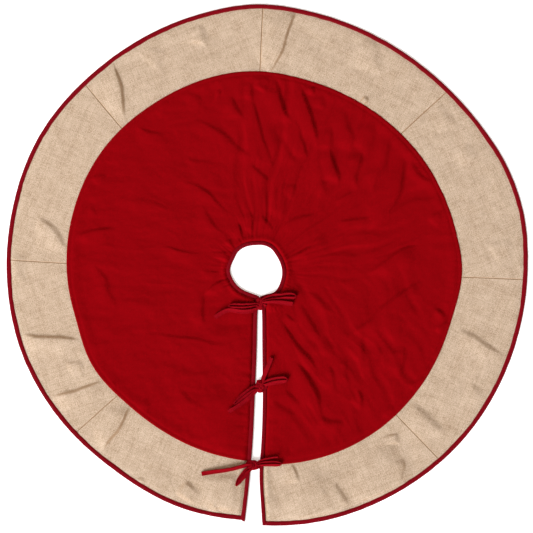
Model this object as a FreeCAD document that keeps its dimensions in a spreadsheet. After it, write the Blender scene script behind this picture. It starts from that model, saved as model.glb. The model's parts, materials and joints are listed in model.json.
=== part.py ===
import FreeCAD, Part
import math
import os

import Sketcher

# A round tree skirt of 1.22 m, laid flat: a red centre panel sewn on a ring of eight natural burlap
# panels, over a cotton lining, with a folded tape bound round the outside, the neck and both sides of
# the slit. Three bows close the slit. Millimetres, +Z up. The origin is the neck opening's centre on
# the floor, and the slit runs from there to -Y.
# The skirt folds in half along the line of its two side seams, so what crosses that line is split there.

os.makedirs("parts", exist_ok=True)
doc = FreeCAD.newDocument("tree_skirt")
sheet = doc.addObject("Spreadsheet::Sheet", "Sheet")

DIMENSIONS = {
    # the round outline, whose centre lies a little off the neck's
    "skirt_radius": 608.7,
    "skirt_x": 23.0,
    "skirt_y": 12.0,
    # the red centre panel: its visible edge, and the seam where the burlap ends under its hem
    "centre_radius": 459.3,
    "centre_x": 14.0,
    "centre_y": 8.0,
    "hem_cover": 12.3,
    "hem_width": 20.3,
    # the neck opening inside its binding
    "neck_radius": 60.0,
    # the binding tape: its thickness, and how far it reaches in over the cloth
    "tape_thick": 0.8,
    "outer_tape": 10.5,
    "neck_tape": 11.0,
    "slit_tape": 11.0,
    # the cloth layers, each a plate that stands for the cloth and its small ripples
    "lining_thick": 0.6,
    "cloth_thick": 1.8,
    "edge_clearance": 0.2,
    # the fold line through both side seams: its slope, its crossing of the Y axis, and the gap cut along it
    "fold_slope": -2.17,
    "fold_y": 5.2,
    "fold_gap": 0.3,
    # the border's seams between the two side seams, as directions from the skirt's centre
    "seam_rear_right": 44.1,
    "seam_rear": 90.9,
    "seam_rear_left": 135.0,
    "seam_front_left": 221.1,
    "seam_front_right": 312.0,
    # where the space between the slit's two sides is divided into left and right
    "slit_middle": 3.0,
    # the ties: a folded strap, its loops on edge, and how the strap's layers lie over the binding
    "tie_width": 11.0,
    "tie_thick": 1.2,
    "lead_thick": 0.9,
    "lead_reach": 8.0,
    "loop_half_width": 7.5,
    "loop_wall": 2.2,
    "loop_height": 5.4,
    "layer_gap": 0.2,
    "knot_width": 20.0,
    "knot_length": 25.0,
    "knot_height": 8.0,
    "knot_round": 3.5,
    "reach": 700.0,
    "tool_height": 30.0,
}

# The slit's two sides, as (y, left x, right x) from inside the neck to beyond the outer edge.
SLIT_STATIONS = [
    (-40.0, 0.5, 11.3),
    (-190.0, -0.5, 12.3),
    (-290.0, -5.0, 14.0),
    (-396.0, -9.4, 11.3),
    (-473.0, -16.0, 4.5),
    (-640.0, -35.0, 15.5),
]

# Each bow: where its knot lies and how it is turned, then the direction and reach of its loops and tails.
BOWS = {
    "top": {
        "x": 7.8, "y": -77.0, "turn": 0.0,
        "left_loop": (183.0, 77.0), "left_tail": (196.0, 112.0),
        "right_loop": (11.0, 87.0), "right_tail": (0.0, 74.0),
    },
    "middle": {
        "x": 7.8, "y": -268.5, "turn": -25.0,
        "left_loop": (212.0, 73.0), "left_tail": (220.5, 95.0),
        "right_loop": (13.0, 67.0), "right_tail": (69.5, 73.0),
    },
    "bottom": {
        "x": -7.4, "y": -455.0, "turn": 80.0,
        "left_loop": (227.0, 65.0), "left_tail": (190.0, 124.0),
        "right_loop": (7.0, 68.0), "right_tail": (25.0, 62.0),
    },
}

for number, (y, left, right) in enumerate(SLIT_STATIONS, start=1):
    DIMENSIONS[f"slit_y_{number}"] = y
    DIMENSIONS[f"slit_left_{number}"] = left
    DIMENSIONS[f"slit_right_{number}"] = right
for bow, facts in BOWS.items():
    for fact in ("x", "y", "turn"):
        DIMENSIONS[f"{bow}_{fact}"] = facts[fact]
    for strap in ("left_loop", "left_tail", "right_loop", "right_tail"):
        DIMENSIONS[f"{bow}_{strap}_turn"], DIMENSIONS[f"{bow}_{strap}_length"] = facts[strap]

for row, (name, value) in enumerate(DIMENSIONS.items(), start=1):
    sheet.set(f"A{row}", name)
    sheet.set(f"B{row}", str(value))
    sheet.setAlias(f"B{row}", name)
doc.recompute()

Z_AXIS = FreeCAD.Vector(0, 0, 1)

# Heights of the layers, from the floor up.
LIP_TOP = "Sheet.tape_thick"
LINING_TOP = f"({LIP_TOP} + Sheet.lining_thick)"
CLOTH_TOP = f"({LINING_TOP} + Sheet.cloth_thick)"
EDGE_TOP = f"({CLOTH_TOP} + Sheet.tape_thick)"
LEAD_BOTTOM = f"({EDGE_TOP} + Sheet.layer_gap)"
TAIL_BOTTOM = f"({LEAD_BOTTOM} + Sheet.lead_thick + Sheet.layer_gap)"
LOOP_BOTTOM = f"({TAIL_BOTTOM} + Sheet.tie_thick + Sheet.layer_gap)"


def bind(feature, sizes):
    """Ties properties of a feature to expressions on the sheet."""
    for prop, expression in sizes.items():
        feature.setExpression(prop, expression)


def place(feature, x="0", y="0", z="0", turn=None):
    """Ties a feature's place to expressions: its base point, and a turn about +Z in degrees."""
    bind(feature, {".Placement.Base.x": x, ".Placement.Base.y": y, ".Placement.Base.z": z})
    if turn is not None:
        feature.Placement.Rotation = FreeCAD.Rotation(Z_AXIS, 1)
        bind(feature, {".Placement.Rotation.Angle": turn})


def disc(name, circle, radius, low, high):
    """A disc about the centre of the skirt, of the centre panel or of the neck."""
    made = doc.addObject("Part::Cylinder", name)
    bind(made, {"Radius": radius, "Height": f"{high} - {low}"})
    x, y = ("0", "0") if circle == "neck" else (f"Sheet.{circle}_x", f"Sheet.{circle}_y")
    place(made, x, y, low)
    return made


def sector(name, radius, low, high, start, end):
    """A wedge of a disc about the skirt's centre, between two directions in degrees."""
    made = disc(name, "skirt", radius, low, high)
    bind(made, {"Angle": f"{end} - {start}"})
    made.Placement.Rotation = FreeCAD.Rotation(Z_AXIS, 1)
    bind(made, {".Placement.Rotation.Angle": start})
    return made


def cut(name, base, tool):
    made = doc.addObject("Part::Cut", name)
    made.Base = base
    made.Tool = tool
    return made


def common(name, base, tool):
    made = doc.addObject("Part::Common", name)
    made.Base = base
    made.Tool = tool
    return made


def ring(name, circle, outer, inner, low, high):
    """The space between two circles about one centre."""
    return cut(
        name,
        disc(f"{name}_outside", circle, outer, low, high),
        disc(f"{name}_inside", circle, inner, low, high),
    )


def own_plane(body, role):
    """One of a body's own origin planes."""
    return next(f for f in body.Origin.OriginFeatures if f.Role == role)


def new_sketch(body, name):
    sketch = body.newObject("Sketcher::SketchObject", name)
    sketch.AttachmentSupport = [(own_plane(body, "XY_Plane"), "")]
    sketch.MapMode = "FlatFace"
    return sketch


def hold(sketch, kind, *places, size):
    """Adds a constraint with a size that follows the sheet."""
    index = sketch.addConstraint(Sketcher.Constraint(kind, *places, float(sheet.evalExpression(size))))
    sketch.setExpression(f"Constraints[{index}]", size)


def add_polygon(sketch, corners):
    """A closed outline of straight lines through corners whose places are expressions."""
    places = [(float(sheet.evalExpression(x)), float(sheet.evalExpression(y))) for x, y in corners]
    points = [FreeCAD.Vector(x, y, 0) for x, y in places]
    ends = points[1:] + points[:1]
    lines = [sketch.addGeometry(Part.LineSegment(a, b), False) for a, b in zip(points, ends)]
    for line, following in zip(lines, lines[1:] + lines[:1]):
        sketch.addConstraint(Sketcher.Constraint("Coincident", line, 2, following, 1))
    for line, (x, y) in zip(lines, corners):
        hold(sketch, "DistanceX", -1, 1, line, 1, size=x)
        hold(sketch, "DistanceY", -1, 1, line, 1, size=y)


def add_slot(sketch, near, far, radius):
    """A round-ended slot along +X, with its arcs' centres at near and far."""
    x0, x1, r = (float(sheet.evalExpression(e)) for e in (near, far, radius))
    corners = [FreeCAD.Vector(x, y, 0) for x, y in ((x0, r), (x1, r), (x1, -r), (x0, -r))]
    upper = sketch.addGeometry(Part.LineSegment(corners[0], corners[1]), False)
    lower = sketch.addGeometry(Part.LineSegment(corners[2], corners[3]), False)
    quarter = math.pi / 2
    circles = [Part.Circle(FreeCAD.Vector(x, 0, 0), Z_AXIS, r) for x in (x1, x0)]
    far_arc = sketch.addGeometry(Part.ArcOfCircle(circles[0], -quarter, quarter), False)
    near_arc = sketch.addGeometry(Part.ArcOfCircle(circles[1], quarter, 3 * quarter), False)
    for first, first_end, second, second_end in (
        (upper, 2, far_arc, 2), (far_arc, 1, lower, 1), (lower, 2, near_arc, 2), (near_arc, 1, upper, 1),
    ):
        sketch.addConstraint(Sketcher.Constraint("Tangent", first, first_end, second, second_end))
    for arc, x in ((far_arc, far), (near_arc, near)):
        sketch.addConstraint(Sketcher.Constraint("PointOnObject", arc, 3, -1))
        hold(sketch, "DistanceX", -1, 1, arc, 3, size=x)
    hold(sketch, "Radius", far_arc, size=radius)


def padded_body(name, draw, height):
    """A body made of one sketch, drawn by a function, and padded up to a height."""
    body = doc.addObject("PartDesign::Body", name)
    sketch = new_sketch(body, f"{name}_sketch")
    draw(sketch)
    pad = body.newObject("PartDesign::Pad", f"{name}_pad")
    pad.Profile = sketch
    bind(pad, {"Length": height})
    body.Tip = pad
    return body


def prism(name, corners, low, high):
    """A straight-sided block between two heights."""
    body = padded_body(name, lambda sketch: add_polygon(sketch, corners), f"{high} - {low}")
    place(body, z=low)
    return body


def slit_side(side, offset="0"):
    """The corners along one side of the slit, moved into the cloth by an offset."""
    sign = "-" if side == "left" else "+"
    numbers = range(1, len(SLIT_STATIONS) + 1)
    return [(f"Sheet.slit_{side}_{n} {sign} {offset}", f"Sheet.slit_y_{n}") for n in numbers]


def slit_space(name, offset, low="-1", high="Sheet.tool_height"):
    """The whole space of the slit, widened on both sides by an offset."""
    return prism(name, slit_side("left", offset) + slit_side("right", offset)[::-1], low, high)


def fold_line(x, side):
    """The fold line's y at an x, on one side (+ or -) of the gap that is cut along it."""
    return f"Sheet.fold_y + ({x}) * tan(Sheet.fold_slope) {side} Sheet.fold_gap / 2"


# The three spaces that the skirt's layers are divided into: behind the fold line, and left and right
# of the slit.
WEST, EAST, MIDDLE = "-Sheet.reach", "Sheet.reach", "Sheet.slit_middle"
SPACES = {
    "back": [
        (WEST, fold_line(WEST, "+")), (EAST, fold_line(EAST, "+")),
        (EAST, "Sheet.reach"), (WEST, "Sheet.reach"),
    ],
    "front_left": [
        (WEST, "-Sheet.reach"), (MIDDLE, "-Sheet.reach"), (MIDDLE, fold_line(MIDDLE, "-")),
        (WEST, fold_line(WEST, "-")),
    ],
    "front_right": [
        (MIDDLE, "-Sheet.reach"), (EAST, "-Sheet.reach"), (EAST, fold_line(EAST, "-")),
        (MIDDLE, fold_line(MIDDLE, "-")),
    ],
}


def within(name, shape, space):
    """What part of a shape lies in one of the three spaces."""
    return common(name, shape, prism(f"{name}_space", SPACES[space], "-1", "Sheet.tool_height"))


nodes = []


def node(made, label):
    """Marks an object as a sub-part, to be written under its own name."""
    made.Label = label
    nodes.append(made)


def cloth_plate(name, base):
    """A layer of cloth with the neck and the slit cut out, up to inside the fold of their tapes."""
    inside = "Sheet.tape_thick + Sheet.edge_clearance"
    neck = disc(f"{name}_neck", "neck", f"Sheet.neck_radius + {inside}", "-1", "9")
    opened = cut(f"{name}_opened", base, neck)
    return cut(f"{name}_slit", opened, slit_space(f"{name}_slit_space", f"({inside})"))


def make_lining():
    radius = "Sheet.skirt_radius - Sheet.tape_thick - Sheet.edge_clearance"
    for space in SPACES:
        name = f"lining_{space}"
        base = disc(f"{name}_disc", "skirt", radius, LIP_TOP, LINING_TOP)
        node(within(f"{name}_solid", cloth_plate(name, base), space), name)


def make_centre_panel():
    """The red panel, with the hem that it lays over the burlap's inner edge, up to the slit's tapes."""
    for space in SPACES:
        name = f"centre_panel_{space}"
        seam = "Sheet.centre_radius - Sheet.hem_cover"
        plate = cloth_plate(name, disc(f"{name}_disc", "centre", seam, LINING_TOP, CLOTH_TOP))
        hem_inside = "Sheet.centre_radius - Sheet.hem_width"
        outside = "Sheet.centre_radius"
        hem_ring = ring(f"{name}_hem_ring", "centre", outside, hem_inside, CLOTH_TOP, EDGE_TOP)
        hem = cut(f"{name}_hem", hem_ring, slit_space(f"{name}_hem_slit", "Sheet.slit_tape"))
        whole = doc.addObject("Part::Fuse", f"{name}_whole")
        whole.Base = plate
        whole.Tool = hem
        node(within(f"{name}_solid", whole, space), name)


def make_border_panels():
    """Eight burlap panels, counted round from the right side seam. The side seams lie on the fold line."""
    past_seam = 12
    seams = [
        f"{-past_seam}", "Sheet.seam_rear_right", "Sheet.seam_rear", "Sheet.seam_rear_left",
        f"{180 + past_seam}",
    ]
    front = [
        f"{180 - past_seam}", "Sheet.seam_front_left", f"{270 + past_seam}", f"{270 - past_seam}",
        "Sheet.seam_front_right", f"{360 + past_seam}",
    ]
    spans = list(zip(seams, seams[1:])) + [(front[0], front[1]), (front[1], front[2])]
    spans += [(front[3], front[4]), (front[4], front[5])]
    spaces = ["back"] * 4 + ["front_left"] * 2 + ["front_right"] * 2
    radius = "Sheet.skirt_radius - Sheet.tape_thick - Sheet.edge_clearance"
    for number, ((start, end), space) in enumerate(zip(spans, spaces), start=1):
        name = f"border_panel_{number}"
        wedge = sector(f"{name}_wedge", radius, LINING_TOP, CLOTH_TOP, start, end)
        seam = disc(f"{name}_seam", "centre", "Sheet.centre_radius - Sheet.hem_cover", "0", "9")
        plate = cloth_plate(name, cut(f"{name}_plate", wedge, seam))
        node(within(f"{name}_solid", plate, space), name)


def make_round_binding(kind, circle, outer, inner, groove_outer, groove_inner):
    """A folded tape round a circular edge: a ring with a groove that the cloth's edge sits in."""
    for space in SPACES:
        name = f"{kind}_binding_{space}"
        band = ring(f"{name}_band", circle, outer, inner, "0", EDGE_TOP)
        groove = ring(f"{name}_groove", circle, groove_outer, groove_inner, LIP_TOP, CLOTH_TOP)
        tape = cut(f"{name}_tape", band, groove)
        opened = cut(f"{name}_opened", tape, slit_space(f"{name}_slit", "0"))
        node(within(f"{name}_solid", opened, space), name)


def make_slit_bindings():
    """A folded tape down each side of the slit, from the neck's tape to the outer tape."""
    for side in ("left", "right"):
        name = f"slit_binding_{side}"
        inner, past = "Sheet.slit_tape", "(Sheet.slit_tape + 1)"
        band = prism(f"{name}_band", slit_side(side) + slit_side(side, inner)[::-1], "0", EDGE_TOP)
        groove = prism(
            f"{name}_groove",
            slit_side(side, "Sheet.tape_thick") + slit_side(side, past)[::-1],
            LIP_TOP,
            CLOTH_TOP,
        )
        tape = cut(f"{name}_tape", band, groove)
        neck = disc(f"{name}_neck", "neck", "Sheet.neck_radius + Sheet.neck_tape", "-1", "9")
        below_neck = cut(f"{name}_below_neck", tape, neck)
        edge = disc(f"{name}_edge", "skirt", "Sheet.skirt_radius - Sheet.outer_tape", "-1", "9")
        node(common(f"{name}_solid", below_neck, edge), name)


def rectangle(x0, x1, half):
    return [(x0, f"-{half}"), (x1, f"-{half}"), (x1, half), (x0, half)]


def make_knot(bow):
    """The turns of both ties where they are knotted, as one rounded block over the slit."""
    name = f"{bow}_knot"
    half_width, half_length = "Sheet.knot_width / 2", "Sheet.knot_length / 2"
    body = padded_body(
        name,
        lambda sketch: add_polygon(sketch, rectangle(f"-{half_width}", half_width, half_length)),
        "Sheet.knot_height",
    )
    block = body.Tip
    doc.recompute()
    rounding = body.newObject("PartDesign::Fillet", f"{name}_rounding")
    rounding.Base = (block, [f"Edge{n}" for n in range(1, len(block.Shape.Edges) + 1)])
    bind(rounding, {"Radius": "Sheet.knot_round"})
    body.Tip = rounding
    place(body, f"Sheet.{bow}_x", f"Sheet.{bow}_y", TAIL_BOTTOM, f"Sheet.{bow}_turn")
    node(body, name)


def make_strap(bow, strap, draw, height, bottom):
    """A loop or tail that starts beside its knot and points the way that the sheet says."""
    name = f"{bow}_{strap}"
    body = padded_body(name, draw, height)
    place(body, f"Sheet.{bow}_x", f"Sheet.{bow}_y", bottom, f"Sheet.{name}_turn")
    node(body, name)


def make_bow(bow):
    make_knot(bow)
    half_diagonal = "sqrt(Sheet.knot_width ^ 2 + Sheet.knot_length ^ 2) / 2"
    start = f"({half_diagonal} - Sheet.knot_round / 2 + Sheet.layer_gap)"
    for side in ("left", "right"):
        tail = rectangle(start, f"Sheet.{bow}_{side}_tail_length", "Sheet.tie_width / 2")
        make_strap(bow, f"{side}_tail", lambda s, c=tail: add_polygon(s, c), "Sheet.tie_thick", TAIL_BOTTOM)

        near = f"({start} + Sheet.loop_half_width)"
        far = f"(Sheet.{bow}_{side}_loop_length - Sheet.loop_half_width)"

        def draw_loop(sketch, near=near, far=far):
            add_slot(sketch, near, far, "Sheet.loop_half_width")
            add_slot(sketch, near, far, "(Sheet.loop_half_width - Sheet.loop_wall)")

        make_strap(bow, f"{side}_loop", draw_loop, "Sheet.loop_height", LOOP_BOTTOM)
        make_lead(bow, side)


def make_lead(bow, side):
    """The flat end of a tie, sewn on the slit's tape and running in under the knot."""
    name = f"{bow}_{side}_lead"
    numbers = range(2, len(SLIT_STATIONS))
    beside = min(numbers, key=lambda n: abs(SLIT_STATIONS[n - 1][0] - BOWS[bow]["y"]))
    edge = f"Sheet.slit_{side}_{beside}"
    half = "Sheet.tie_width / 2"
    if side == "left":
        ends = (f"{edge} - Sheet.lead_reach", f"Sheet.{bow}_x - Sheet.layer_gap")
    else:
        ends = (f"Sheet.{bow}_x + Sheet.layer_gap", f"{edge} + Sheet.lead_reach")
    body = padded_body(name, lambda s: add_polygon(s, rectangle(*ends, half)), "Sheet.lead_thick")
    place(body, "0", f"Sheet.{bow}_y", LEAD_BOTTOM)
    node(body, name)


make_lining()
make_centre_panel()
make_border_panels()
make_round_binding(
    "outer",
    "skirt",
    "Sheet.skirt_radius",
    "Sheet.skirt_radius - Sheet.outer_tape",
    "Sheet.skirt_radius - Sheet.tape_thick",
    "Sheet.skirt_radius - Sheet.outer_tape - 1",
)
make_round_binding(
    "neck",
    "neck",
    "Sheet.neck_radius + Sheet.neck_tape",
    "Sheet.neck_radius",
    "Sheet.neck_radius + Sheet.neck_tape + 1",
    "Sheet.neck_radius + Sheet.tape_thick",
)
make_slit_bindings()
for bow in BOWS:
    make_bow(bow)
doc.recompute()

for made in doc.Objects:
    if "Invalid" in made.State or "Error" in made.State:
        raise RuntimeError(f"{made.Name} failed: {made.State}")
for made in nodes:
    shape = made.Shape
    if shape.isNull() or not shape.isValid() or len(shape.Solids) != 1:
        raise RuntimeError(f"{made.Label} is not one valid solid")
for made in nodes:
    made.Shape.exportStep(os.path.join("parts", f"{made.Label}.step"))
    box = made.Shape.BoundBox
    print(
        f"{made.Label}: {made.Shape.Volume:.0f} mm3, x {box.XMin:.1f} to {box.XMax:.1f},"
        f" y {box.YMin:.1f} to {box.YMax:.1f}, z {box.ZMin:.2f} to {box.ZMax:.2f}"
    )
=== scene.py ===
"""A round tree skirt that lies flat, with three bows across its slit.

Lengths are in millimetres unless a comment says otherwise."""

import json
import math

import bpy
import numpy as np
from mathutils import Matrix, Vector


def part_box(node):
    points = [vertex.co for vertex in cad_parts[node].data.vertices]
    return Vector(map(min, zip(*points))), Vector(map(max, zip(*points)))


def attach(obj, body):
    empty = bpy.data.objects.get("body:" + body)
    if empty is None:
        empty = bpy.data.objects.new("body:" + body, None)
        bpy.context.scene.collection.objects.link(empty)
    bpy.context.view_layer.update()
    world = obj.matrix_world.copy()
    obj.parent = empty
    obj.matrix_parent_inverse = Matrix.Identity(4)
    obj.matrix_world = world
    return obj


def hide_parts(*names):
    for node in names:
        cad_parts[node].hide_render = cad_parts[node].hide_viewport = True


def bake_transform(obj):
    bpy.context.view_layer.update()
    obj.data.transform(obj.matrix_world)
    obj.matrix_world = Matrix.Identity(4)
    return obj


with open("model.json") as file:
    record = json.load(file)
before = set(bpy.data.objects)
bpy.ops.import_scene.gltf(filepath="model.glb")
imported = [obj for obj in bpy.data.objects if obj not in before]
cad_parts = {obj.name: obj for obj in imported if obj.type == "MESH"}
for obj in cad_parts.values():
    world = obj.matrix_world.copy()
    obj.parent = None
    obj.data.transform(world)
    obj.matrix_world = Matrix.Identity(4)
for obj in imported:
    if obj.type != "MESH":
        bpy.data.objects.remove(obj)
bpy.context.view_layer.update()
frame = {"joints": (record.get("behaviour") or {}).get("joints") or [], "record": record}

# A millimetre in metres.
MM = 0.001
SPACES = ("back", "front_left", "front_right")
BOWS = ("top", "middle", "bottom")
# Where the camera stands in plan and the width that it shows, in metres; its lens and sensor.
VIEW_CENTRE = (0.0223, 0.0117)
VIEW_WIDTH = 1.252
LENS = 100.0
SENSOR = 36.0
# The key light's direction in plan, and its height above the horizon.
TO_LIGHT = np.array([-0.59, -0.81])
ELEVATION = math.radians(31)
# The floor's radius, how far it lies under the cloth, and the height of the wall round it.
STAGE_RADIUS = 30000.0
STAGE_DROP = 0.05
STAGE_HEIGHT = 6500.0
# How far inside their binding the cloth's edges end, and how its grain is turned, in degrees.
EDGE_INSET = 1.2
CLOTH_TURN = 6


# Camera and lights. Their places are in metres.

camera = bpy.data.objects.new("camera", bpy.data.cameras.new("camera"))
bpy.context.scene.collection.objects.link(camera)
camera.data.lens = LENS
camera.data.sensor_width = SENSOR
camera.location = (*VIEW_CENTRE, VIEW_WIDTH * LENS / SENSOR)
camera.data.clip_start = 0.05
camera.data.clip_end = 50.0
bpy.context.scene.camera = camera
bpy.context.scene.view_settings.view_transform = "Standard"

sun = bpy.data.objects.new("key_light", bpy.data.lights.new("key_light", "SUN"))
bpy.context.scene.collection.objects.link(sun)
sun.data.energy = 5.2
sun.data.color = (0.94, 1.0, 1.12)
sun.data.angle = math.radians(36)
towards = Vector((TO_LIGHT[0], TO_LIGHT[1], 0)).normalized() * math.cos(ELEVATION)
towards.z = math.sin(ELEVATION)
sun.rotation_mode = "QUATERNION"
sun.rotation_quaternion = towards.to_track_quat("Z", "Y")

panel_light = bpy.data.objects.new("left_light", bpy.data.lights.new("left_light", "AREA"))
bpy.context.scene.collection.objects.link(panel_light)
panel_light.data.energy = 24.0
panel_light.data.shape = "DISK"
panel_light.data.size = 1.8
panel_light.location = (-2.6, -0.5, 1.5)
panel_light.rotation_mode = "QUATERNION"
panel_light.rotation_quaternion = panel_light.location.to_track_quat("Z", "Y")

world = bpy.data.worlds.new("studio")
bpy.context.scene.world = world
world.use_nodes = True
background = world.node_tree.nodes["Background"]
background.inputs["Color"].default_value = (1.0, 0.77, 0.52, 1.0)
background.inputs["Strength"].default_value = 0.245


# Small helpers for curves, noise and paths.


def smooth(low, high, x):
    """0 below low and 1 above high, with no corner between."""
    t = np.clip((np.asarray(x, float) - low) / (high - low), 0, 1)
    return t * t * (3 - 2 * t)


def through(x, xs, ys):
    """A smooth curve through the points (xs, ys), read at x; flat beyond both ends."""
    xs = np.asarray(xs, float)
    ys = np.asarray(ys, float)
    slope = np.gradient(ys, xs)
    x = np.clip(x, xs[0], xs[-1])
    i = np.clip(np.searchsorted(xs, x) - 1, 0, len(xs) - 2)
    h = xs[i + 1] - xs[i]
    t = (x - xs[i]) / h
    a = (1 + 2 * t) * (1 - t) ** 2 * ys[i] + t * (1 - t) ** 2 * h * slope[i]
    b = t * t * (3 - 2 * t) * ys[i + 1] - t * t * (1 - t) * h * slope[i + 1]
    return a + b


# The noise below repeats after this many cells.
NOISE_CELLS = 64


def noise(x, y, seed):
    """Gradient noise with a cell of 1, from about -1 to 1."""
    turns = np.random.default_rng(seed).random((NOISE_CELLS, NOISE_CELLS)) * 2 * np.pi
    x = np.asarray(x, float)
    y = np.asarray(y, float)
    xi = np.floor(x).astype(int)
    yi = np.floor(y).astype(int)
    fx = x - xi
    fy = y - yi
    sx = fx * fx * fx * (fx * (fx * 6 - 15) + 10)
    sy = fy * fy * fy * (fy * (fy * 6 - 15) + 10)

    def corner(dx, dy):
        a = turns[(xi + dx) % NOISE_CELLS, (yi + dy) % NOISE_CELLS]
        return np.cos(a) * (fx - dx) + np.sin(a) * (fy - dy)

    low = corner(0, 0) * (1 - sx) + corner(1, 0) * sx
    high = corner(0, 1) * (1 - sx) + corner(1, 1) * sx
    return 1.5 * (low * (1 - sy) + high * sy)


def rounded_path(points, times=2):
    """A path with its corners cut, in two or three dimensions."""
    p = np.asarray(points, float)
    for _ in range(times):
        near = p[:-1] * 0.75 + p[1:] * 0.25
        far = p[:-1] * 0.25 + p[1:] * 0.75
        middle = np.stack([near, far], axis=1).reshape(-1, p.shape[1])
        p = np.vstack([p[:1], middle[1:-1], p[-1:]])
    return p


def spaced(path, step, dimensions=3):
    """The path's points at even steps along it, and how far along each is.

    The way along it is measured over its first dimensions only."""
    spans = np.linalg.norm(np.diff(path[:, :dimensions], axis=0), axis=1)
    long = np.concatenate([[0], np.cumsum(spans)])
    n = max(2, int(round(long[-1] / step)))
    at = np.linspace(0, long[-1], n + 1)
    return np.stack([np.interp(at, long, path[:, k]) for k in range(path.shape[1])], axis=1), at


def folds(x, y, strokes, widen):
    """The height that folds add at (x, y), with both their widths multiplied by widen.

    Each stroke is (height, steep width, gentle width, points). Its steep side lies along the stroke and
    faces away from the light."""
    z = np.zeros(x.shape)
    for height, steep, gentle, points in strokes:
        p = rounded_path(points)
        steep, gentle = steep * widen, gentle * widen
        whole = p[-1] - p[0]
        side = 1.0 if np.dot((-whole[1], whole[0]), -TO_LIGHT) > 0 else -1.0
        reach = 2.6 * gentle + steep
        near = (x > p[:, 0].min() - reach) & (x < p[:, 0].max() + reach)
        near &= (y > p[:, 1].min() - reach) & (y < p[:, 1].max() + reach)
        if not near.any():
            continue
        px, py = x[near], y[near]
        best = np.full(px.shape, 1e9)
        signed = np.zeros(px.shape)
        along = np.zeros(px.shape)
        spans = np.linalg.norm(np.diff(p, axis=0), axis=1)
        starts = np.concatenate([[0], np.cumsum(spans)])
        for k, long in enumerate(spans):
            d = (p[k + 1] - p[k]) / long
            rx, ry = px - p[k, 0], py - p[k, 1]
            t = np.clip(rx * d[0] + ry * d[1], 0, long)
            dx, dy = rx - d[0] * t, ry - d[1] * t
            far = np.hypot(dx, dy)
            closer = far < best
            best[closer] = far[closer]
            cross = d[0] * ry - d[1] * rx
            signed[closer] = (np.sign(cross) * far)[closer]
            along[closer] = (starts[k] + t)[closer]
        s = along / starts[-1]
        taper = smooth(0, 0.34, s) * smooth(0, 0.34, 1 - s)
        narrow = 0.45 + 0.55 * taper
        across = signed * side / narrow + steep / 2
        shape = np.where(across > 0, 1 - smooth(0, steep, across), np.exp(-((across / gentle) ** 2)))
        z[near] += height * taper**0.8 * shape
    return z


# The skirt's plan: three circles taken from the CAD, each with the waver of its cloth edge.


def cad(name):
    """The CAD nodes of a cloth that the CAD splits at the fold line and at the slit."""
    return [f"{name}_{s}" for s in SPACES]


def box_of(nodes):
    """The lowest and the highest corner of the CAD nodes."""
    corners = np.array([[tuple(c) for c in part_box(n)] for n in nodes]) * 1000
    return corners[:, 0].min(axis=0), corners[:, 1].max(axis=0)


low, high = box_of(cad("outer_binding"))
SKIRT_CENTRE = (low + high)[:2] / 2
SKIRT_RADIUS = (high - low)[0] / 2
low, high = box_of(cad("centre_panel"))
PANEL_RADIUS = (high - low)[0] / 2
PANEL_CENTRE = np.array([(low + high)[0] / 2, high[1] - PANEL_RADIUS])
NECK_RADIUS = next(m for m in frame["record"]["mounts"] if m["name"] == "neck")["dims"]["r_mm"]
JOINT = frame["joints"][0]
FOLD_LINE = np.array(JOINT["axis"])

# Each waver is (degrees counter-clockwise from +X round the circle's centre, millimetres outward).
RIM_WAVER = [
    (-92, 0), (-82, 3), (-60, 4.5), (-42, 6), (-25, 4), (-10, 3), (0, 4), (12, 7), (22, 3),
    (35, -8), (50, -13), (65, -10), (80, -2), (92, 7), (105, 4), (130, 1.5), (150, 7), (170, 3),
    (185, 2), (200, 1.5), (215, -4), (232, -11), (255, -8), (262, -10), (267, -11.5),
]
HEM_WAVER = [
    (-92, 2), (-82, 4.5), (-55, 7), (-35, 3), (-15, 0), (0, 8), (10, 2), (30, -4), (60, -9),
    (75, -7), (92, 3), (125, 4.5), (142, 8), (165, 5), (185, 0), (195, -4), (210, 2), (225, -8),
    (255, -8), (267, -6),
]
NECK_WAVER = [
    (-90, -1), (-75, -2), (-50, 3), (-20, 0), (0, -1), (40, -1), (60, 3), (80, 3), (90, 2),
    (120, 4), (135, 4), (150, 1.5), (180, 3), (200, -1), (220, -4), (250, -7), (262, -5), (270, -1),
]
# The slit's sides, as (y, left x, right x).
SLIT = [
    (-56, 5.2, 7.0), (-75, 4.5, 8.5), (-92, 0.8, 12.2), (-190, -0.5, 12.3), (-290, -5.0, 14.0),
    (-396, -9.4, 11.3), (-473, -16.0, 4.5), (-540, -23.0, 9.0), (-610, -31.5, 13.5),
]
SLIT_SIDES = rounded_path([(-y, left, right) for y, left, right in SLIT], 3)


def slit_side(r, side):
    """The x of the slit's left (1) or right (2) side at the distance r from the neck's centre."""
    return np.interp(r, SLIT_SIDES[:, 0], SLIT_SIDES[:, side])


def ring(phi, centre, radius, waver):
    """The distance from the neck's centre to a wavering circle, in the directions phi."""
    d = np.stack([np.cos(np.radians(phi)), np.sin(np.radians(phi))], axis=-1)
    along = d @ centre
    out = np.full(along.shape, float(radius))
    wide = out.copy()
    for _ in range(4):
        out = along + np.sqrt(along**2 - centre @ centre + wide**2)
        p = out[..., None] * d - centre
        theta = np.degrees(np.arctan2(p[..., 1], p[..., 0]))
        theta = np.where((phi > 150) & (theta < 0), theta + 360, theta)
        wide = radius + through(theta, *zip(*waver))
    return out


def rim(phi):
    """The skirt's outer edge."""
    return ring(phi, SKIRT_CENTRE, SKIRT_RADIUS, RIM_WAVER)


def hem(phi):
    """The red cloth's outer edge."""
    return ring(phi, PANEL_CENTRE, PANEL_RADIUS, HEM_WAVER)


def neck(phi):
    """The edge of the neck opening."""
    return NECK_RADIUS + through(phi, *zip(*NECK_WAVER))


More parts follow.
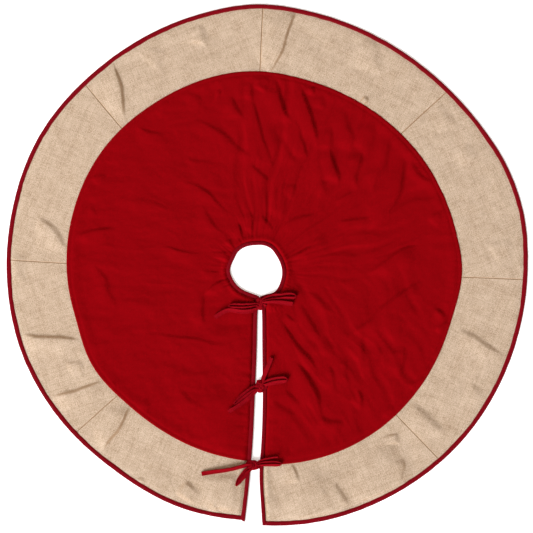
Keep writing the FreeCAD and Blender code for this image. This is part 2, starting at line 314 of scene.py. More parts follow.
def place(phi, r, inset=0.0):
    """The plan point at the distance r in the even direction phi.

    phi runs from -90 at the slit's right side to 270 at its left. The directions near the slit turn so
    that the cloth ends along the slit's sides, inset by so much."""
    left = slit_side(r, 1) - inset
    right = slit_side(r, 2) + inset
    turn_right = np.degrees(np.arcsin(right / r)) * (1 - smooth(0, 50, phi + 90))
    turn_left = np.degrees(np.arcsin(left / r)) * (1 - smooth(0, 50, 270 - phi))
    a = np.radians(phi + turn_right + turn_left)
    return r * np.cos(a), r * np.sin(a)


# How the cloth lies: slow swells that every layer shares, and the red cloth's and the burlap's folds.

RED_FOLDS = [
    (3.4, 10, 26, [(-14, 400), (-2, 377), (4, 346), (12, 313), (24, 278), (40, 238)]),
    (1.6, 8, 18, [(-10, 447), (-14, 420), (-12, 395)]),
    (3.0, 9, 16, [(29, 456), (24, 440), (21, 420)]),
    (4.2, 11, 24, [(42, 456), (50, 431), (53, 403), (66, 370), (84, 352)]),
    (3.2, 9, 20, [(90, 358), (97, 338), (104, 313), (122, 267)]),
    (4.0, 10, 26, [(98, 438), (113, 403), (127, 368), (136, 332), (139, 296)]),
    (1.6, 14, 24, [(52, 325), (72, 286), (94, 252)]),
    (2.0, 6, 10, [(134, 436), (134, 414)]),
    (1.2, 12, 16, [(157, 415), (158, 380)]),
    (1.8, 12, 22, [(170, 336), (175, 305), (174, 278)]),
    (3.4, 8, 22, [(172, 292), (175, 272), (183, 247), (192, 220), (190, 202)]),
    (1.9, 15, 26, [(210, 385), (214, 346), (224, 313), (221, 270)]),
    (1.5, 16, 24, [(274, 350), (268, 309), (262, 272)]),
    (2.3, 10, 20, [(248, 285), (241, 250), (232, 218), (238, 192)]),
    (2.2, 12, 24, [(322, 330), (310, 290), (301, 248), (282, 210), (270, 180)]),
    (3.6, 12, 30, [(345, 268), (344, 224), (330, 165), (296, 121), (259, 93)]),
    (1.0, 4, 9, [(176, 164), (202, 178), (230, 190)]),
    (1.5, 14, 20, [(148, 268), (154, 212), (167, 172)]),
    (1.4, 9, 18, [(90, 205), (86, 188), (77, 170)]),
    (1.4, 7, 14, [(-16, 256), (7, 229), (34, 210)]),
    (2.0, 9, 14, [(358, 265), (374, 240), (390, 221), (413, 214)]),
    (1.5, 9, 14, [(398, 120), (415, 134), (432, 140)]),
    (1.7, 16, 26, [(60, 205), (68, 160), (60, 120)]),
    (1.5, 7, 18, [(183, 119), (226, 122), (272, 127)]),
    (2.3, 8, 20, [(82, 26), (104, 45), (125, 62), (160, 92)]),
    (1.6, 7, 18, [(48, 96), (72, 114), (101, 127), (142, 139)]),
    (3.2, 9, 26, [(258, -10), (280, 8), (301, 27), (342, 56), (378, 62)]),
    (4.6, 8, 26, [(206, -158), (232, -140), (265, -116), (300, -82), (348, -43), (386, -18)]),
    (1.9, 15, 26, [(112, -43), (143, -57), (164, -83), (181, -104)]),
    (2.4, 10, 26, [(100, -74), (115, -102), (134, -132), (152, -156)]),
    (1.9, 20, 22, [(150, -150), (171, -170), (178, -200)]),
    (3.5, 12, 26, [(58, -116), (73, -144), (92, -168), (113, -194), (140, -230)]),
    (3.8, 12, 26, [(86, -209), (106, -231), (129, -255), (139, -285), (144, -310), (153, -338)]),
    (2.6, 9, 20, [(150, -334), (164, -350), (204, -355)]),
    (2.0, 10, 20, [(252, -143), (249, -177), (252, -214)]),
    (1.5, 18, 26, [(352, -108), (332, -140), (318, -168)]),
    (2.7, 9, 24, [(348, -174), (341, -219), (333, -252)]),
    (2.6, 6, 10, [(352, -266), (372, -260), (396, -250)]),
    (2.3, 6, 12, [(420, -86), (434, -97), (446, -97)]),
    (2.5, 6, 12, [(416, -140), (432, -126), (450, -119)]),
    (2.4, 6, 12, [(405, -204), (417, -186), (432, -171)]),
    (1.6, 9, 16, [(290, -170), (287, -201), (272, -228), (262, -250)]),
    (1.8, 10, 18, [(170, -217), (181, -248), (183, -282)]),
    (1.4, 9, 16, [(204, -194), (209, -227), (214, -270)]),
    (2.8, 8, 16, [(236, -278), (250, -302), (243, -326)]),
    (2.2, 16, 18, [(288, -338), (302, -322), (324, -318)]),
    (1.6, 10, 20, [(58, -274), (82, -292), (108, -316)]),
    (1.5, 12, 18, [(38, -300), (59, -322), (92, -336)]),
    (1.3, 6, 12, [(66, -97), (90, -114)]),
    (1.6, 5, 9, [(34, -72), (36, -86), (35, -98)]),
    (1.5, 5, 8, [(43, -72), (44, -84), (42, -94)]),
    (1.7, 6, 14, [(-430, 78), (-386, 94), (-334, 104)]),
    (1.3, 6, 16, [(-288, 339), (-250, 331), (-216, 323)]),
    (1.4, 6, 12, [(-392, 219), (-374, 227), (-354, 231)]),
    (1.0, 10, 18, [(-394, 158), (-384, 144), (-368, 132)]),
    (1.9, 10, 18, [(-60, 412), (-46, 386), (-33, 358)]),
    (1.0, 8, 14, [(-170, 416), (-128, 408)]),
    (1.4, 9, 12, [(-94, 427), (-84, 424)]),
    (1.5, 10, 24, [(-146, 364), (-87, 326), (-28, 280), (4, 260)]),
    (0.8, 8, 18, [(-170, 268), (-132, 262), (-98, 256)]),
    (1.3, 9, 22, [(-188, 210), (-116, 192), (-81, 156), (-52, 132)]),
    (1.2, 9, 20, [(-130, 158), (-105, 115), (-80, 84)]),
    (1.1, 7, 18, [(-230, 57), (-169, 48), (-114, 41)]),
    (0.8, 8, 16, [(-136, 4), (-86, -2)]),
    (2.9, 7, 14, [(-68, -16), (-90, -24), (-106, -34), (-124, -54)]),
    (1.6, 9, 16, [(-125, -50), (-129, -96), (-121, -128)]),
    (1.3, 9, 18, [(-388, 16), (-350, -14), (-345, -62), (-320, -72)]),
    (1.3, 7, 22, [(-276, -146), (-193, -149), (-134, -161), (-56, -170)]),
    (0.9, 8, 16, [(-394, -167), (-344, -163)]),
    (1.8, 6, 10, [(-346, -262), (-330, -256)]),
    (1.0, 9, 18, [(-264, -296), (-244, -320)]),
    (0.9, 9, 20, [(-112, -392), (-62, -360)]),
    (2.3, 7, 12, [(-44, 110), (-38, 94), (-34, 78)]),
    (2.4, 7, 12, [(-7, 140), (-9, 112), (-8, 84)]),
    (2.0, 7, 12, [(8, 134), (24, 112), (38, 95)]),
    (1.8, 7, 10, [(-64, 76), (-60, 60)]),
    (2.0, 10, 16, [(-70, 44), (-72, 20)]),
    (0.9, 14, 24, [(-300, 180), (-250, 160), (-200, 150)]),
    (0.8, 14, 24, [(-330, -60), (-270, -75), (-200, -70)]),
    (0.9, 12, 26, [(-220, -220), (-150, -240), (-90, -235)]),
    (1.2, 10, 22, [(-190, -270), (-160, -300), (-120, -320)]),
    (3.6, 42, 60, [(-44, -262), (-50, -320), (-54, -370), (-58, -440)]),
    (1.5, 36, 40, [(-40, -130), (-46, -180), (-46, -230)]),
    (1.2, 12, 14, [(27, -285), (26, -345), (22, -415)]),
]
BURLAP_FOLDS = [
    (6.0, 8, 26, [(94, 614), (77, 567), (56, 520), (33, 462)]),
    (3.2, 9, 26, [(-336, 490), (-318, 427), (-307, 356)]),
    (2.0, 18, 22, [(-127, 580), (-122, 550), (-120, 528)]),
    (1.5, 20, 26, [(272, 556), (282, 512), (290, 468)]),
    (2.3, 13, 22, [(-512, 130), (-474, 98), (-444, 56)]),
    (3.0, 9, 24, [(-560, -142), (-486, -152), (-414, -161)]),
    (3.0, 9, 22, [(-484, -296), (-424, -278), (-358, -256)]),
    (3.8, 9, 24, [(-296, -310), (-330, -372), (-362, -424)]),
    (2.5, 13, 22, [(-164, -486), (-178, -506), (-192, -524)]),
    (1.6, 9, 16, [(-268, -482), (-266, -500)]),
    (1.9, 8, 14, [(-97, -540), (-122, -562)]),
    (1.2, 10, 18, [(-448, -216), (-406, -207)]),
    (2.3, 12, 24, [(472, -134), (531, -168), (582, -194)]),
    (2.1, 20, 24, [(364, -306), (406, -348), (444, -380)]),
    (2.1, 10, 16, [(344, -438), (340, -466), (334, -494)]),
    (1.6, 14, 20, [(328, -376), (334, -404)]),
    (2.0, 10, 16, [(84, -454), (101, -492)]),
    (2.5, 12, 20, [(150, -500), (163, -528), (182, -562)]),
    (2.3, 12, 20, [(186, -492), (200, -522), (214, -548)]),
    (1.6, 9, 14, [(250, 414), (262, 402)]),
    (1.3, 16, 24, [(488, 306), (520, 262)]),
    (1.2, 16, 22, [(-540, 40), (-556, 6), (-540, -30)]),
    (1.0, 18, 26, [(-210, 520), (-236, 470)]),
    (1.1, 18, 26, [(420, 400), (470, 350)]),
    (1.1, 16, 26, [(540, 60), (600, 76)]),
    (1.2, 16, 24, [(500, -260), (540, -300)]),
    (1.0, 16, 24, [(30, -520), (60, -560)]),
    (1.1, 16, 22, [(-60, -500), (-50, -560)]),
    (3.6, 32, 40, [(-46, -470), (-52, -510), (-56, -570)]),
    (4.2, 70, 50, [(140, -450), (178, -530), (200, -600)]),
    (4.0, 62, 50, [(290, -390), (334, -470), (360, -535)]),
]


def lie(x, y):
    """The slow swells of the whole skirt above the floor."""
    return 0.45 + 0.42 * noise(x / 230, y / 230, 3)


def creased(n, sharp=0.6):
    """Noise whose crests are drawn up into soft edges."""
    return (1 - sharp) * n + sharp * (0.42 - np.sqrt(n * n + 0.004))


# A distance beyond the reach of everything that happens beside the slit.
FAR_AWAY = 900.0


def beside_slit(x, y):
    """How far a plan point is from the slit's nearer side; far away behind the neck."""
    r = np.hypot(x, y)
    left, right = slit_side(r, 1), slit_side(r, 2)
    off = np.where(x < (left + right) / 2, left - x, x - right)
    return np.where(y < 0, off, FAR_AWAY)


def red_relief(x, y, phi):
    """The red cloth's folds above its own flat height."""
    r = np.hypot(x, y)
    direction = np.degrees(np.arctan2(y, x))
    lively = smooth(-80, 70, x + 0.2 * y)
    upper = smooth(-60, 60, y)
    wx = x + 5 * noise(x / 60, y / 60, 11)
    wy = y + 5 * noise(x / 60, y / 60, 12)
    bend = noise(x / 85, y / 85, 10)
    # Creases that fan out from the neck in the upper part and slant across the lower one, in two sizes.
    wide_fan = noise(direction / 5.6 + 0.55 * bend, r / 150, 13)
    wide_slant = noise((0.88 * x + 0.47 * y) / 31 + 0.5 * bend, (0.47 * x - 0.88 * y) / 120, 33)
    swell = upper * creased(wide_fan) + (1 - upper) * creased(wide_slant)
    fine_fan = noise(direction / 3.3 + 0.8 * bend, r / 105, 47)
    fine_slant = noise((0.85 * x + 0.53 * y) / 17 + 0.8 * bend, (0.53 * x - 0.85 * y) / 80, 48)
    finer = upper * creased(fine_fan) * smooth(90, 220, r) * smooth(25, 55, direction)
    finer += (1 - upper) * creased(fine_slant)
    level = noise(x / 150, y / 26 + 0.5 * bend, 34)
    z = (1.9 - 0.35 * lively * (1 - upper)) * folds(wx, wy, RED_FOLDS, 1.2)
    z += lively * ((2.8 + 1.9 * upper) * swell + (0.9 + 0.6 * upper) * finer)
    z += lively * (0.6 * creased(noise(wx / 30, wy / 30, 14)) + 0.22 * noise(wx / 12, wy / 12, 15))
    right = smooth(120, 260, x) * smooth(-190, -60, y) * (1 - smooth(60, 160, y))
    z += 2.4 * right * creased(noise((wx + wy) / 110, (wy - wx) / 62, 49))
    low = 1 + 0.7 * smooth(-60, -240, y) * smooth(-330, -200, x)
    z += (1 - lively) * (1.3 * creased(level) + 1.1 * noise(wx / 62, wy / 48, 35))
    z += (1 - lively) * low * (0.30 * noise(wx / 15, wy / 11, 36) + 0.45 * noise(wx / 34, wy / 22, 50))
    z += 0.10 * noise(wx / 6.5, wy / 6.5, 16)
    # Puckers where the neck's tape gathers the cloth.
    reach = 17 + 5 * smooth(-60, 10, direction) * (1 - smooth(40, 110, direction))
    pucker = np.abs(noise(direction / 6.4 + 0.4 * bend, r / 70, 17))
    pucker += 0.5 * np.abs(noise(direction / 3.4, r / 60, 18))
    gathered = 3.4 + 2.0 * smooth(30, 60, direction) + 1.8 * smooth(-130, -150, direction)
    z += gathered * (0.7 - pucker) * np.exp(-np.maximum(r - NECK_RADIUS - 10, 0) / reach)
    # Gathers along the slit's left side, and small ones along the hem.
    off = beside_slit(x, y)
    left = (x < 5) & (y < 0)
    gathers = np.where(left, np.exp(-np.maximum(off - 11, 0) / 20), 0) * smooth(80, 160, -y)
    z += 3.2 * gathers * creased(noise(y / 6.4, x / 45, 19), 0.4)
    inside = hem(phi) - r
    edge = np.exp(-np.maximum(inside - 8, 0) / 14)
    busy = 0.6 + 0.8 * smooth(-50, 0, direction) * (1 - smooth(70, 110, direction))
    z += edge * busy * noise(direction / 1.15, inside / 30, 20)
    # The cloth puffs up beside the tapes, which hold it down.
    beyond = np.maximum(off - 10.3, 0)
    z += (2.1 + 0.8 * (1 - np.exp(-beyond / 11))) * (1 - smooth(24, 75, off))
    z += 1.8 * np.exp(-(((r - neck(phi) - 15.5) / 4.5) ** 2))
    z = settled(z + 0.5, highest(x, y))
    return z * (1 - np.exp(-beyond / 2.1)) * smooth(9.5, 13.5, r - neck(phi))


# Where the bows lie when the skirt is folded: (x, y, half width, half depth), and their knots' (x, y).
BOWS_ABOVE = ((4, 90, 118, 40), (38, 277, 96, 82), (-30, 480, 76, 46), (62, 446, 50, 24))
KNOTS_ABOVE = ((13, 86), (31, 279), (25, 464))


def highest(x, y):
    """How high the folds may stand: less where the bows lie on them when the skirt is folded in half."""
    under = np.zeros(x.shape)
    for bx, by, wide, deep in BOWS_ABOVE:
        off = np.hypot((x - bx) / wide, (y - by) / deep)
        under = np.maximum(under, 0.66 * (1 - smooth(0.85, 1.3, off)))
    for bx, by in KNOTS_ABOVE:
        under = np.maximum(under, 1 - smooth(22, 46, np.hypot(x - bx, y - by)))
    return 8.0 - 4.4 * under


def settled(z, high):
    """Folds kept between the cloth's flat height and high, with no corner at either end."""
    z = np.where(z > 0, z, 0.8 * np.tanh(z / 0.8))
    return np.where(z > 0, z / (1 + (np.maximum(z, 0) / high) ** 4) ** 0.25, z)


def burlap_relief(x, y, phi):
    """The burlap's folds above its own flat height. The rim's tape holds it flatter."""
    wx = x + 5 * noise(x / 60, y / 60, 21)
    wy = y + 5 * noise(x / 60, y / 60, 22)
    z = 2.0 * folds(wx, wy, BURLAP_FOLDS, 1.3)
    lively = 0.65 + 0.35 * smooth(-100, 300, x)
    z += lively * (1.5 * creased(noise(wx / 58, wy / 58, 23), 0.4) + 0.4 * noise(wx / 24, wy / 24, 24))
    z += 0.16 * noise(wx / 9, wy / 9, 25)
    direction = np.degrees(np.arctan2(y, x))
    inside = rim(phi) - np.hypot(x, y)
    z += 0.45 * np.exp(-np.maximum(inside - 9, 0) / 9) * noise(direction / 1.0, inside / 30, 26)
    beyond = np.maximum(beside_slit(x, y) - 10.3, 0)
    z += 1.8 * np.exp(-(((beyond - 7) / 9) ** 2))
    z = settled(z + 0.3, highest(x, y) - 1.2)
    return z * (0.25 + 0.75 * smooth(4, 24, inside)) * (1 - np.exp(-beyond / 2.5))


def burlap_top(x, y, phi):
    """The burlap's upper face, which sinks a little towards the rim."""
    inside = rim(phi) - np.hypot(x, y)
    return lie(x, y) + 1.5 + 0.6 * smooth(2, 25, inside) + burlap_relief(x, y, phi)


def red_top(x, y, phi):
    """The red cloth's upper face: on the lining inside, and on the burlap in the hem."""
    inside = hem(phi) - np.hypot(x, y)
    on_burlap = 1 - smooth(12, 36, inside)
    flat = lie(x, y) + 1.9 + red_relief(x, y, phi) * (0.3 + 0.7 * smooth(5, 26, inside))
    lifted = burlap_top(x, y, phi) + 1.25 - (lie(x, y) + 1.9)
    groove = 0.22 * np.exp(-(((inside - 4.5) / 1.1) ** 2)) + 0.5 * np.exp(-(((inside - 9) / 2.4) ** 2))
    roll = 0.9 * (1 - smooth(0, 3.2, inside))
    return flat + on_burlap * lifted - groove - roll


# Meshes.


def build(name, verts, faces, uvs, material):
    """A shaded piece from points, faces of three or four indices, and a UV in metres for each point."""
    mesh = bpy.data.meshes.new(name)
    sizes = np.concatenate([np.full(len(f), f.shape[1]) for f in faces])
    index = np.concatenate([f.reshape(-1) for f in faces])
    mesh.vertices.add(len(verts))
    mesh.vertices.foreach_set("co", (np.asarray(verts) * MM).astype(np.float32).ravel())
    mesh.loops.add(len(index))
    mesh.loops.foreach_set("vertex_index", index.astype(np.int32))
    mesh.polygons.add(len(sizes))
    starts = np.concatenate([[0], np.cumsum(sizes)[:-1]])
    mesh.polygons.foreach_set("loop_start", starts.astype(np.int32))
    mesh.polygons.foreach_set("loop_total", sizes.astype(np.int32))
    mesh.polygons.foreach_set("use_smooth", np.ones(len(sizes), bool))
    layer = mesh.uv_layers.new(name="cloth")
    layer.data.foreach_set("uv", np.asarray(uvs)[index].astype(np.float32).ravel())
    mesh.update(calc_edges=True)
    mesh.validate()
    mesh.materials.append(material)
    piece = bpy.data.objects.new(name, mesh)
    bpy.context.scene.collection.objects.link(piece)
    return piece


def between(a, na, b, nb):
    """The faces between two rows that start at points a and b, with na and nb cells.

    One of the counts may be a multiple of the other."""
    if na == nb:
        j = np.arange(na)
        return [np.stack([a + j, b + j, b + j + 1, a + j + 1], axis=1)]
    made = []
    if nb > na:
        k = nb // na
        j = np.arange(na)
        for i in range(k):
            hub = a + j + (0 if i < k / 2 else 1)
            made.append(np.stack([hub, b + k * j + i, b + k * j + i + 1], axis=1))
        made.append(np.stack([a + j, b + k * j + (k + 1) // 2, a + j + 1], axis=1))
        return made
    k = na // nb
    j = np.arange(nb)
    for i in range(k):
        hub = b + j + (0 if i < k / 2 else 1)
        made.append(np.stack([a + k * j + i, hub, a + k * j + i + 1], axis=1))
    made.append(np.stack([a + k * j + (k + 1) // 2, b + j, b + j + 1], axis=1))
    return made


def plate(name, top, bottom, material):
    """A closed sheet. top and bottom are rows (points, uvs), from the inner edge to the outer one."""
    rows = top + bottom[::-1]
    starts = np.concatenate([[0], np.cumsum([len(p) for p, _ in rows])])
    cells = [len(p) - 1 for p, _ in rows]
    faces = []
    for i in range(len(rows)):
        k = (i + 1) % len(rows)
        faces += between(starts[i], cells[i], starts[k], cells[k])
    # Both ends are closed, between the top rows' outermost points and the bottom rows'.
    for end in (0, 1):
        up = [starts[i] + end * cells[i] for i in range(len(top))]
        down = [starts[i] + end * cells[i] for i in range(len(rows) - 1, len(top) - 1, -1)]
        i = k = 0
        caps = []
        while i < len(up) - 1 or k < len(down) - 1:
            further_up = (i + 1) / len(up) if i < len(up) - 1 else math.inf
            further_down = (k + 1) / len(down) if k < len(down) - 1 else math.inf
            if further_up <= further_down:
                caps.append((up[i + 1], up[i], down[k]))
                i += 1
            else:
                caps.append((down[k], down[k + 1], up[i]))
                k += 1
        caps = np.array(caps)
        faces.append(caps if end == 0 else caps[:, ::-1])
    verts = np.concatenate([p for p, _ in rows])
    uvs = np.concatenate([u for _, u in rows])
    return build(name, verts, faces, uvs, material)


def swept(name, sections, uvs, material):
    """A solid with capped ends, swept through sections (stations, points, 3) that are rings of points."""
    n, m = sections.shape[:2]
    i = np.arange(n - 1)[:, None]
    j = np.arange(m)[None, :]
    a = i * m + j
    b = (i + 1) * m + j
    c = (i + 1) * m + (j + 1) % m
    d = i * m + (j + 1) % m
    faces = [np.stack([a, b, c, d], axis=-1).reshape(-1, 4)]
    verts = sections.reshape(-1, 3)
    uvs = uvs.reshape(-1, 2)
    ends = np.stack([sections[0].mean(axis=0), sections[-1].mean(axis=0)])
    j = np.arange(m)
    k = (j + 1) % m
    hub = len(verts)
    last = (n - 1) * m
    faces.append(np.stack([np.full(m, hub), j, k], axis=1))
    faces.append(np.stack([np.full(m, hub + 1), last + k, last + j], axis=1))
    verts = np.vstack([verts, ends])
    uvs = np.vstack([uvs, uvs[:1], uvs[-1:]])
    return build(name, verts, faces, uvs, material)


# Materials.


class Shader:
    """A small writer of procedural materials."""

    def __init__(self, name):
        self.material = bpy.data.materials.new(name)
        self.material.use_nodes = True
        self.tree = self.material.node_tree
        self.out = self.tree.nodes["Principled BSDF"]
        self.uv = self.node("ShaderNodeUVMap").outputs["UV"]

    def node(self, kind, **settings):
        made = self.tree.nodes.new(kind)
        for key, value in settings.items():
            setattr(made, key, value)
        return made

    def feed(self, socket, value):
        if isinstance(value, bpy.types.NodeSocket):
            self.tree.links.new(value, socket)
        else:
            socket.default_value = value

    def math(self, kind, *values):
        made = self.node("ShaderNodeMath", operation=kind)
        for socket, value in zip(made.inputs, values):
            self.feed(socket, value)
        return made.outputs[0]

    def scaled(self, x, y, turn=0.0):
        """The UV stretched by x and y, after a turn in degrees."""
        made = self.node("ShaderNodeMapping")
        self.feed(made.inputs["Vector"], self.uv)
        made.inputs["Rotation"].default_value = (0, 0, math.radians(turn))
        made.inputs["Scale"].default_value = (x, y, 1)
        return made.outputs["Vector"]

    def noise(self, vector, scale, detail=2.0, rough=0.5):
        made = self.node("ShaderNodeTexNoise")
        self.feed(made.inputs["Vector"], vector)
        made.inputs["Scale"].default_value = scale
        made.inputs["Detail"].default_value = detail
        made.inputs["Roughness"].default_value = rough
        return made.outputs["Fac"]

    def white(self, x, y):
        """A value that changes from cell to cell."""
        both = self.node("ShaderNodeCombineXYZ")
        self.feed(both.inputs[0], x)
        self.feed(both.inputs[1], y)
        made = self.node("ShaderNodeTexWhiteNoise", noise_dimensions="2D")
        self.feed(made.inputs["Vector"], both.outputs[0])
        return made.outputs["Value"]

    def span(self, value, from_low, from_high, low, high):
        made = self.node("ShaderNodeMapRange")
        for key, v in zip(range(5), (value, from_low, from_high, low, high)):
            self.feed(made.inputs[key], v)
        return made.outputs["Result"]

    def blend(self, share, a, b):
        made = self.node("ShaderNodeMix", data_type="RGBA")
        self.feed(made.inputs[0], share)
        self.feed(made.inputs[6], a)
        self.feed(made.inputs[7], b)
        return made.outputs[2]

    def axes(self, vector):
        made = self.node("ShaderNodeSeparateXYZ")
        self.feed(made.inputs[0], vector)
        return made.outputs[0], made.outputs[1]

    def weave(self, pitch, waver, turn=0.0):
        """A plain weave of that pitch in metres, whose yarns waver by a share of it.

        Gives its height from 0 to 1, how much of it is warp, and the two yarns' coordinates."""
        u, v = self.axes(self.scaled(1, 1, turn))
        drift_u = self.math("SUBTRACT", self.noise(self.scaled(0.25, 1, turn), 0.10 / pitch), 0.5)
        drift_v = self.math("SUBTRACT", self.noise(self.scaled(1, 0.25, turn), 0.11 / pitch), 0.5)
        u = self.math("ADD", self.math("DIVIDE", u, pitch), self.math("MULTIPLY", drift_u, waver))
        v = self.math("ADD", self.math("DIVIDE", v, pitch), self.math("MULTIPLY", drift_v, waver))
        su = self.math("SINE", self.math("MULTIPLY", u, math.pi))
        sv = self.math("SINE", self.math("MULTIPLY", v, math.pi))
        over = self.math("MULTIPLY", self.math("SIGN", su), sv)
        under = self.math("MULTIPLY", self.math("SIGN", sv), su)
        warp = self.math("SQRT", self.math("ABSOLUTE", su))
        warp = self.math("MULTIPLY", warp, self.math("MULTIPLY_ADD", over, 0.5, 0.5))
        weft = self.math("SQRT", self.math("ABSOLUTE", sv))
        weft = self.math("MULTIPLY", weft, self.math("MULTIPLY_ADD", under, -0.5, 0.5))
        return self.math("MAXIMUM", warp, weft), self.math("GREATER_THAN", warp, weft), u, v

    def glow(self, strength):
        self.out.inputs["Emission Color"].default_value = (1, 1, 1, 1)
        self.out.inputs["Emission Strength"].default_value = strength

    def finish(self, color, rough, height=None, strength=0.4, distance=0.001, specular=0.0, sheen=None):
        self.feed(self.out.inputs["Base Color"], color)
        self.feed(self.out.inputs["Roughness"], rough)
        self.out.inputs["Specular IOR Level"].default_value = specular
        if sheen:
            weight, tint = sheen
            self.out.inputs["Sheen Weight"].default_value = weight
            self.out.inputs["Sheen Roughness"].default_value = 0.45
            self.out.inputs["Sheen Tint"].default_value = (*tint, 1)
        if height is not None:
            bump = self.node("ShaderNodeBump")
            bump.inputs["Strength"].default_value = strength
            bump.inputs["Distance"].default_value = distance
            self.feed(bump.inputs["Height"], height)
            self.feed(self.out.inputs["Normal"], bump.outputs["Normal"])
        return self.material


def cotton(name, color, dark, pitch=0.00048, turn=0.0, cloudy=0.18, sheen=0.05, crinkle=0.35):
    """Plain cotton: a fine weave with uneven yarns, faint clouds of colour, and small crinkles.

    pitch is in metres and turn in degrees; cloudy, sheen and crinkle are strengths."""
    s = Shader(name)
    height, _, u, v = s.weave(pitch, 0.9, turn)
    yarns = s.math("ADD", s.white(s.math("FLOOR", u), 1.0), s.white(2.0, s.math("FLOOR", v)))
    long_u = s.noise(s.scaled(0.06, 1, turn), 900, 3)
    long_v = s.noise(s.scaled(1, 0.06, turn), 900, 3)
    clouds = s.noise(s.uv, 22, 4, 0.6)
    tone = s.math("MULTIPLY_ADD", yarns, 0.10, s.math("MULTIPLY", s.math("ADD", long_u, long_v), 0.35))
    tone = s.math("ADD", tone, s.math("MULTIPLY", clouds, cloudy))
    share = s.span(tone, 0.30, 0.85, 0.0, 1.0)
    lit = s.blend(share, (*dark, 1), (*color, 1))
    creases = s.noise(s.uv, 260, 4, 0.62)
    fuzz = s.noise(s.uv, 2600, 2)
    bumps = s.math("MULTIPLY_ADD", height, 0.25, s.math("MULTIPLY", creases, crinkle))
    bumps = s.math("ADD", bumps, s.math("MULTIPLY", fuzz, 0.08))
    return s.finish(lit, 0.92, bumps, 0.55, 0.0009, 0.0, (sheen, color))


# The burlap's colours: its dark and pale yarns, painted shade for the gaps between them, and a brown for
# its seams and steep folds: painted shade in the seams' grooves, where the yarns are also crushed darker,
# and painted shade on the steep folds.
JUTE_DARK = (0.35, 0.222, 0.125, 1)
JUTE_PALE = (0.735, 0.565, 0.410, 1)
JUTE_GAP_SHADE = (0.28, 0.180, 0.105, 1)
JUTE_SEAM_AND_FOLD_SHADE = (0.40, 0.225, 0.105, 1)


def burlap(name):
    """Jute: thick uneven yarns with slubs, an open weave, and loose fibres."""
    s = Shader(name)
    height, warp, u, v = s.weave(0.00165, 1.5)
    yarn_u = s.white(s.math("FLOOR", u), 3.0)
    yarn_v = s.white(5.0, s.math("FLOOR", v))
    slub_u = s.noise(s.scaled(1, 0.12), 700, 2)
    slub_v = s.noise(s.scaled(0.12, 1), 700, 2)
    across = s.math("MULTIPLY_ADD", yarn_u, 0.22, slub_u)
    along = s.math("MULTIPLY_ADD", yarn_v, 0.22, slub_v)
    across = s.math("MULTIPLY", across, warp)
    along = s.math("MULTIPLY", along, s.math("SUBTRACT", 1.0, warp))
    yarn = s.math("ADD", across, along)
    patches = s.noise(s.uv, 30, 4, 0.65)
    speck = s.noise(s.uv, 480, 4, 0.75)
    tone = s.math("ADD", s.math("MULTIPLY", yarn, 0.62), s.math("MULTIPLY", patches, 0.30))
    tone = s.math("ADD", tone, s.math("MULTIPLY", speck, 1.15))
    yarns = s.blend(s.span(tone, 0.87, 1.25, 0.0, 1.0), JUTE_DARK, JUTE_PALE)
    # The weave's low places take the gap colour: painted shade between the yarns.
    cloth = s.blend(s.span(height, 0.10, 0.42, 0.0, 1.0), JUTE_GAP_SHADE, yarns)
    # The seam attribute paints shade: brown in the seams' grooves, where the yarns are crushed too, and
    # on the steep folds.
    seam = s.node("ShaderNodeAttribute", attribute_name="seam").outputs["Fac"]
    cloth = s.blend(seam, cloth, JUTE_SEAM_AND_FOLD_SHADE)
    fibres = s.noise(s.uv, 3300, 2)
    rough = s.math("ADD", fibres, s.math("MULTIPLY", yarn, 0.8))
    bumps = s.math("ADD", height, s.math("MULTIPLY", rough, 0.3))
    return s.finish(cloth, 0.95, bumps, 0.5, 0.0011, 0.02, (0.04, (0.9, 0.75, 0.55)))


RED = cotton("red_cotton", (0.283, 0.0016, 0.0039), (0.216, 0.0010, 0.0028), turn=8)
TAPE = cotton(
    "binding_tape", (0.232, 0.0050, 0.0105), (0.160, 0.0028, 0.0062),
    pitch=0.00042, cloudy=0.22, sheen=0.10, crinkle=0.50,
)
TIE = cotton(
    "tie_strap", (0.300, 0.0040, 0.0092), (0.180, 0.0018, 0.0046),
    pitch=0.00042, cloudy=0.25, sheen=0.10, crinkle=0.80,
)
LINING = cotton(
    "lining_cotton", (0.70, 0.63, 0.52), (0.58, 0.51, 0.41), pitch=0.00055, turn=3, cloudy=0.25,
)
BURLAP = burlap("burlap")

thread = Shader("thread")
twist = thread.node("ShaderNodeTexWave", wave_type="BANDS")
thread.feed(twist.inputs["Vector"], thread.scaled(1, 1, 35))
twist.inputs["Scale"].default_value = 700
ply = twist.outputs["Fac"]
THREAD = thread.finish(
    thread.blend(ply, (0.20, 0.001, 0.003, 1), (0.33, 0.003, 0.008, 1)), 0.6, ply, 0.5, 0.0003, 0.05
)

boards = Shader("floor")
grain = boards.noise(boards.uv, 40, 3)
boards.glow(0.40)
FLOOR = boards.finish(boards.blend(grain, (0.93, 0.93, 0.93, 1), (0.95, 0.95, 0.95, 1)), 0.9)


# The cloth layers.


def columns(r):
    """How many cells a row has at that distance from the neck's centre."""
    return 220 if r < 95 else 440 if r < 190 else 880


def turned(x, y, degrees, centre=(0.0, 0.0)):
    """The UV of a cloth whose grain is turned."""
    a = math.radians(degrees)
    dx, dy = (x - centre[0]) * MM, (y - centre[1]) * MM
    across, along = math.cos(a), math.sin(a)
    return np.stack([dx * across + dy * along, dy * across - dx * along], axis=-1)


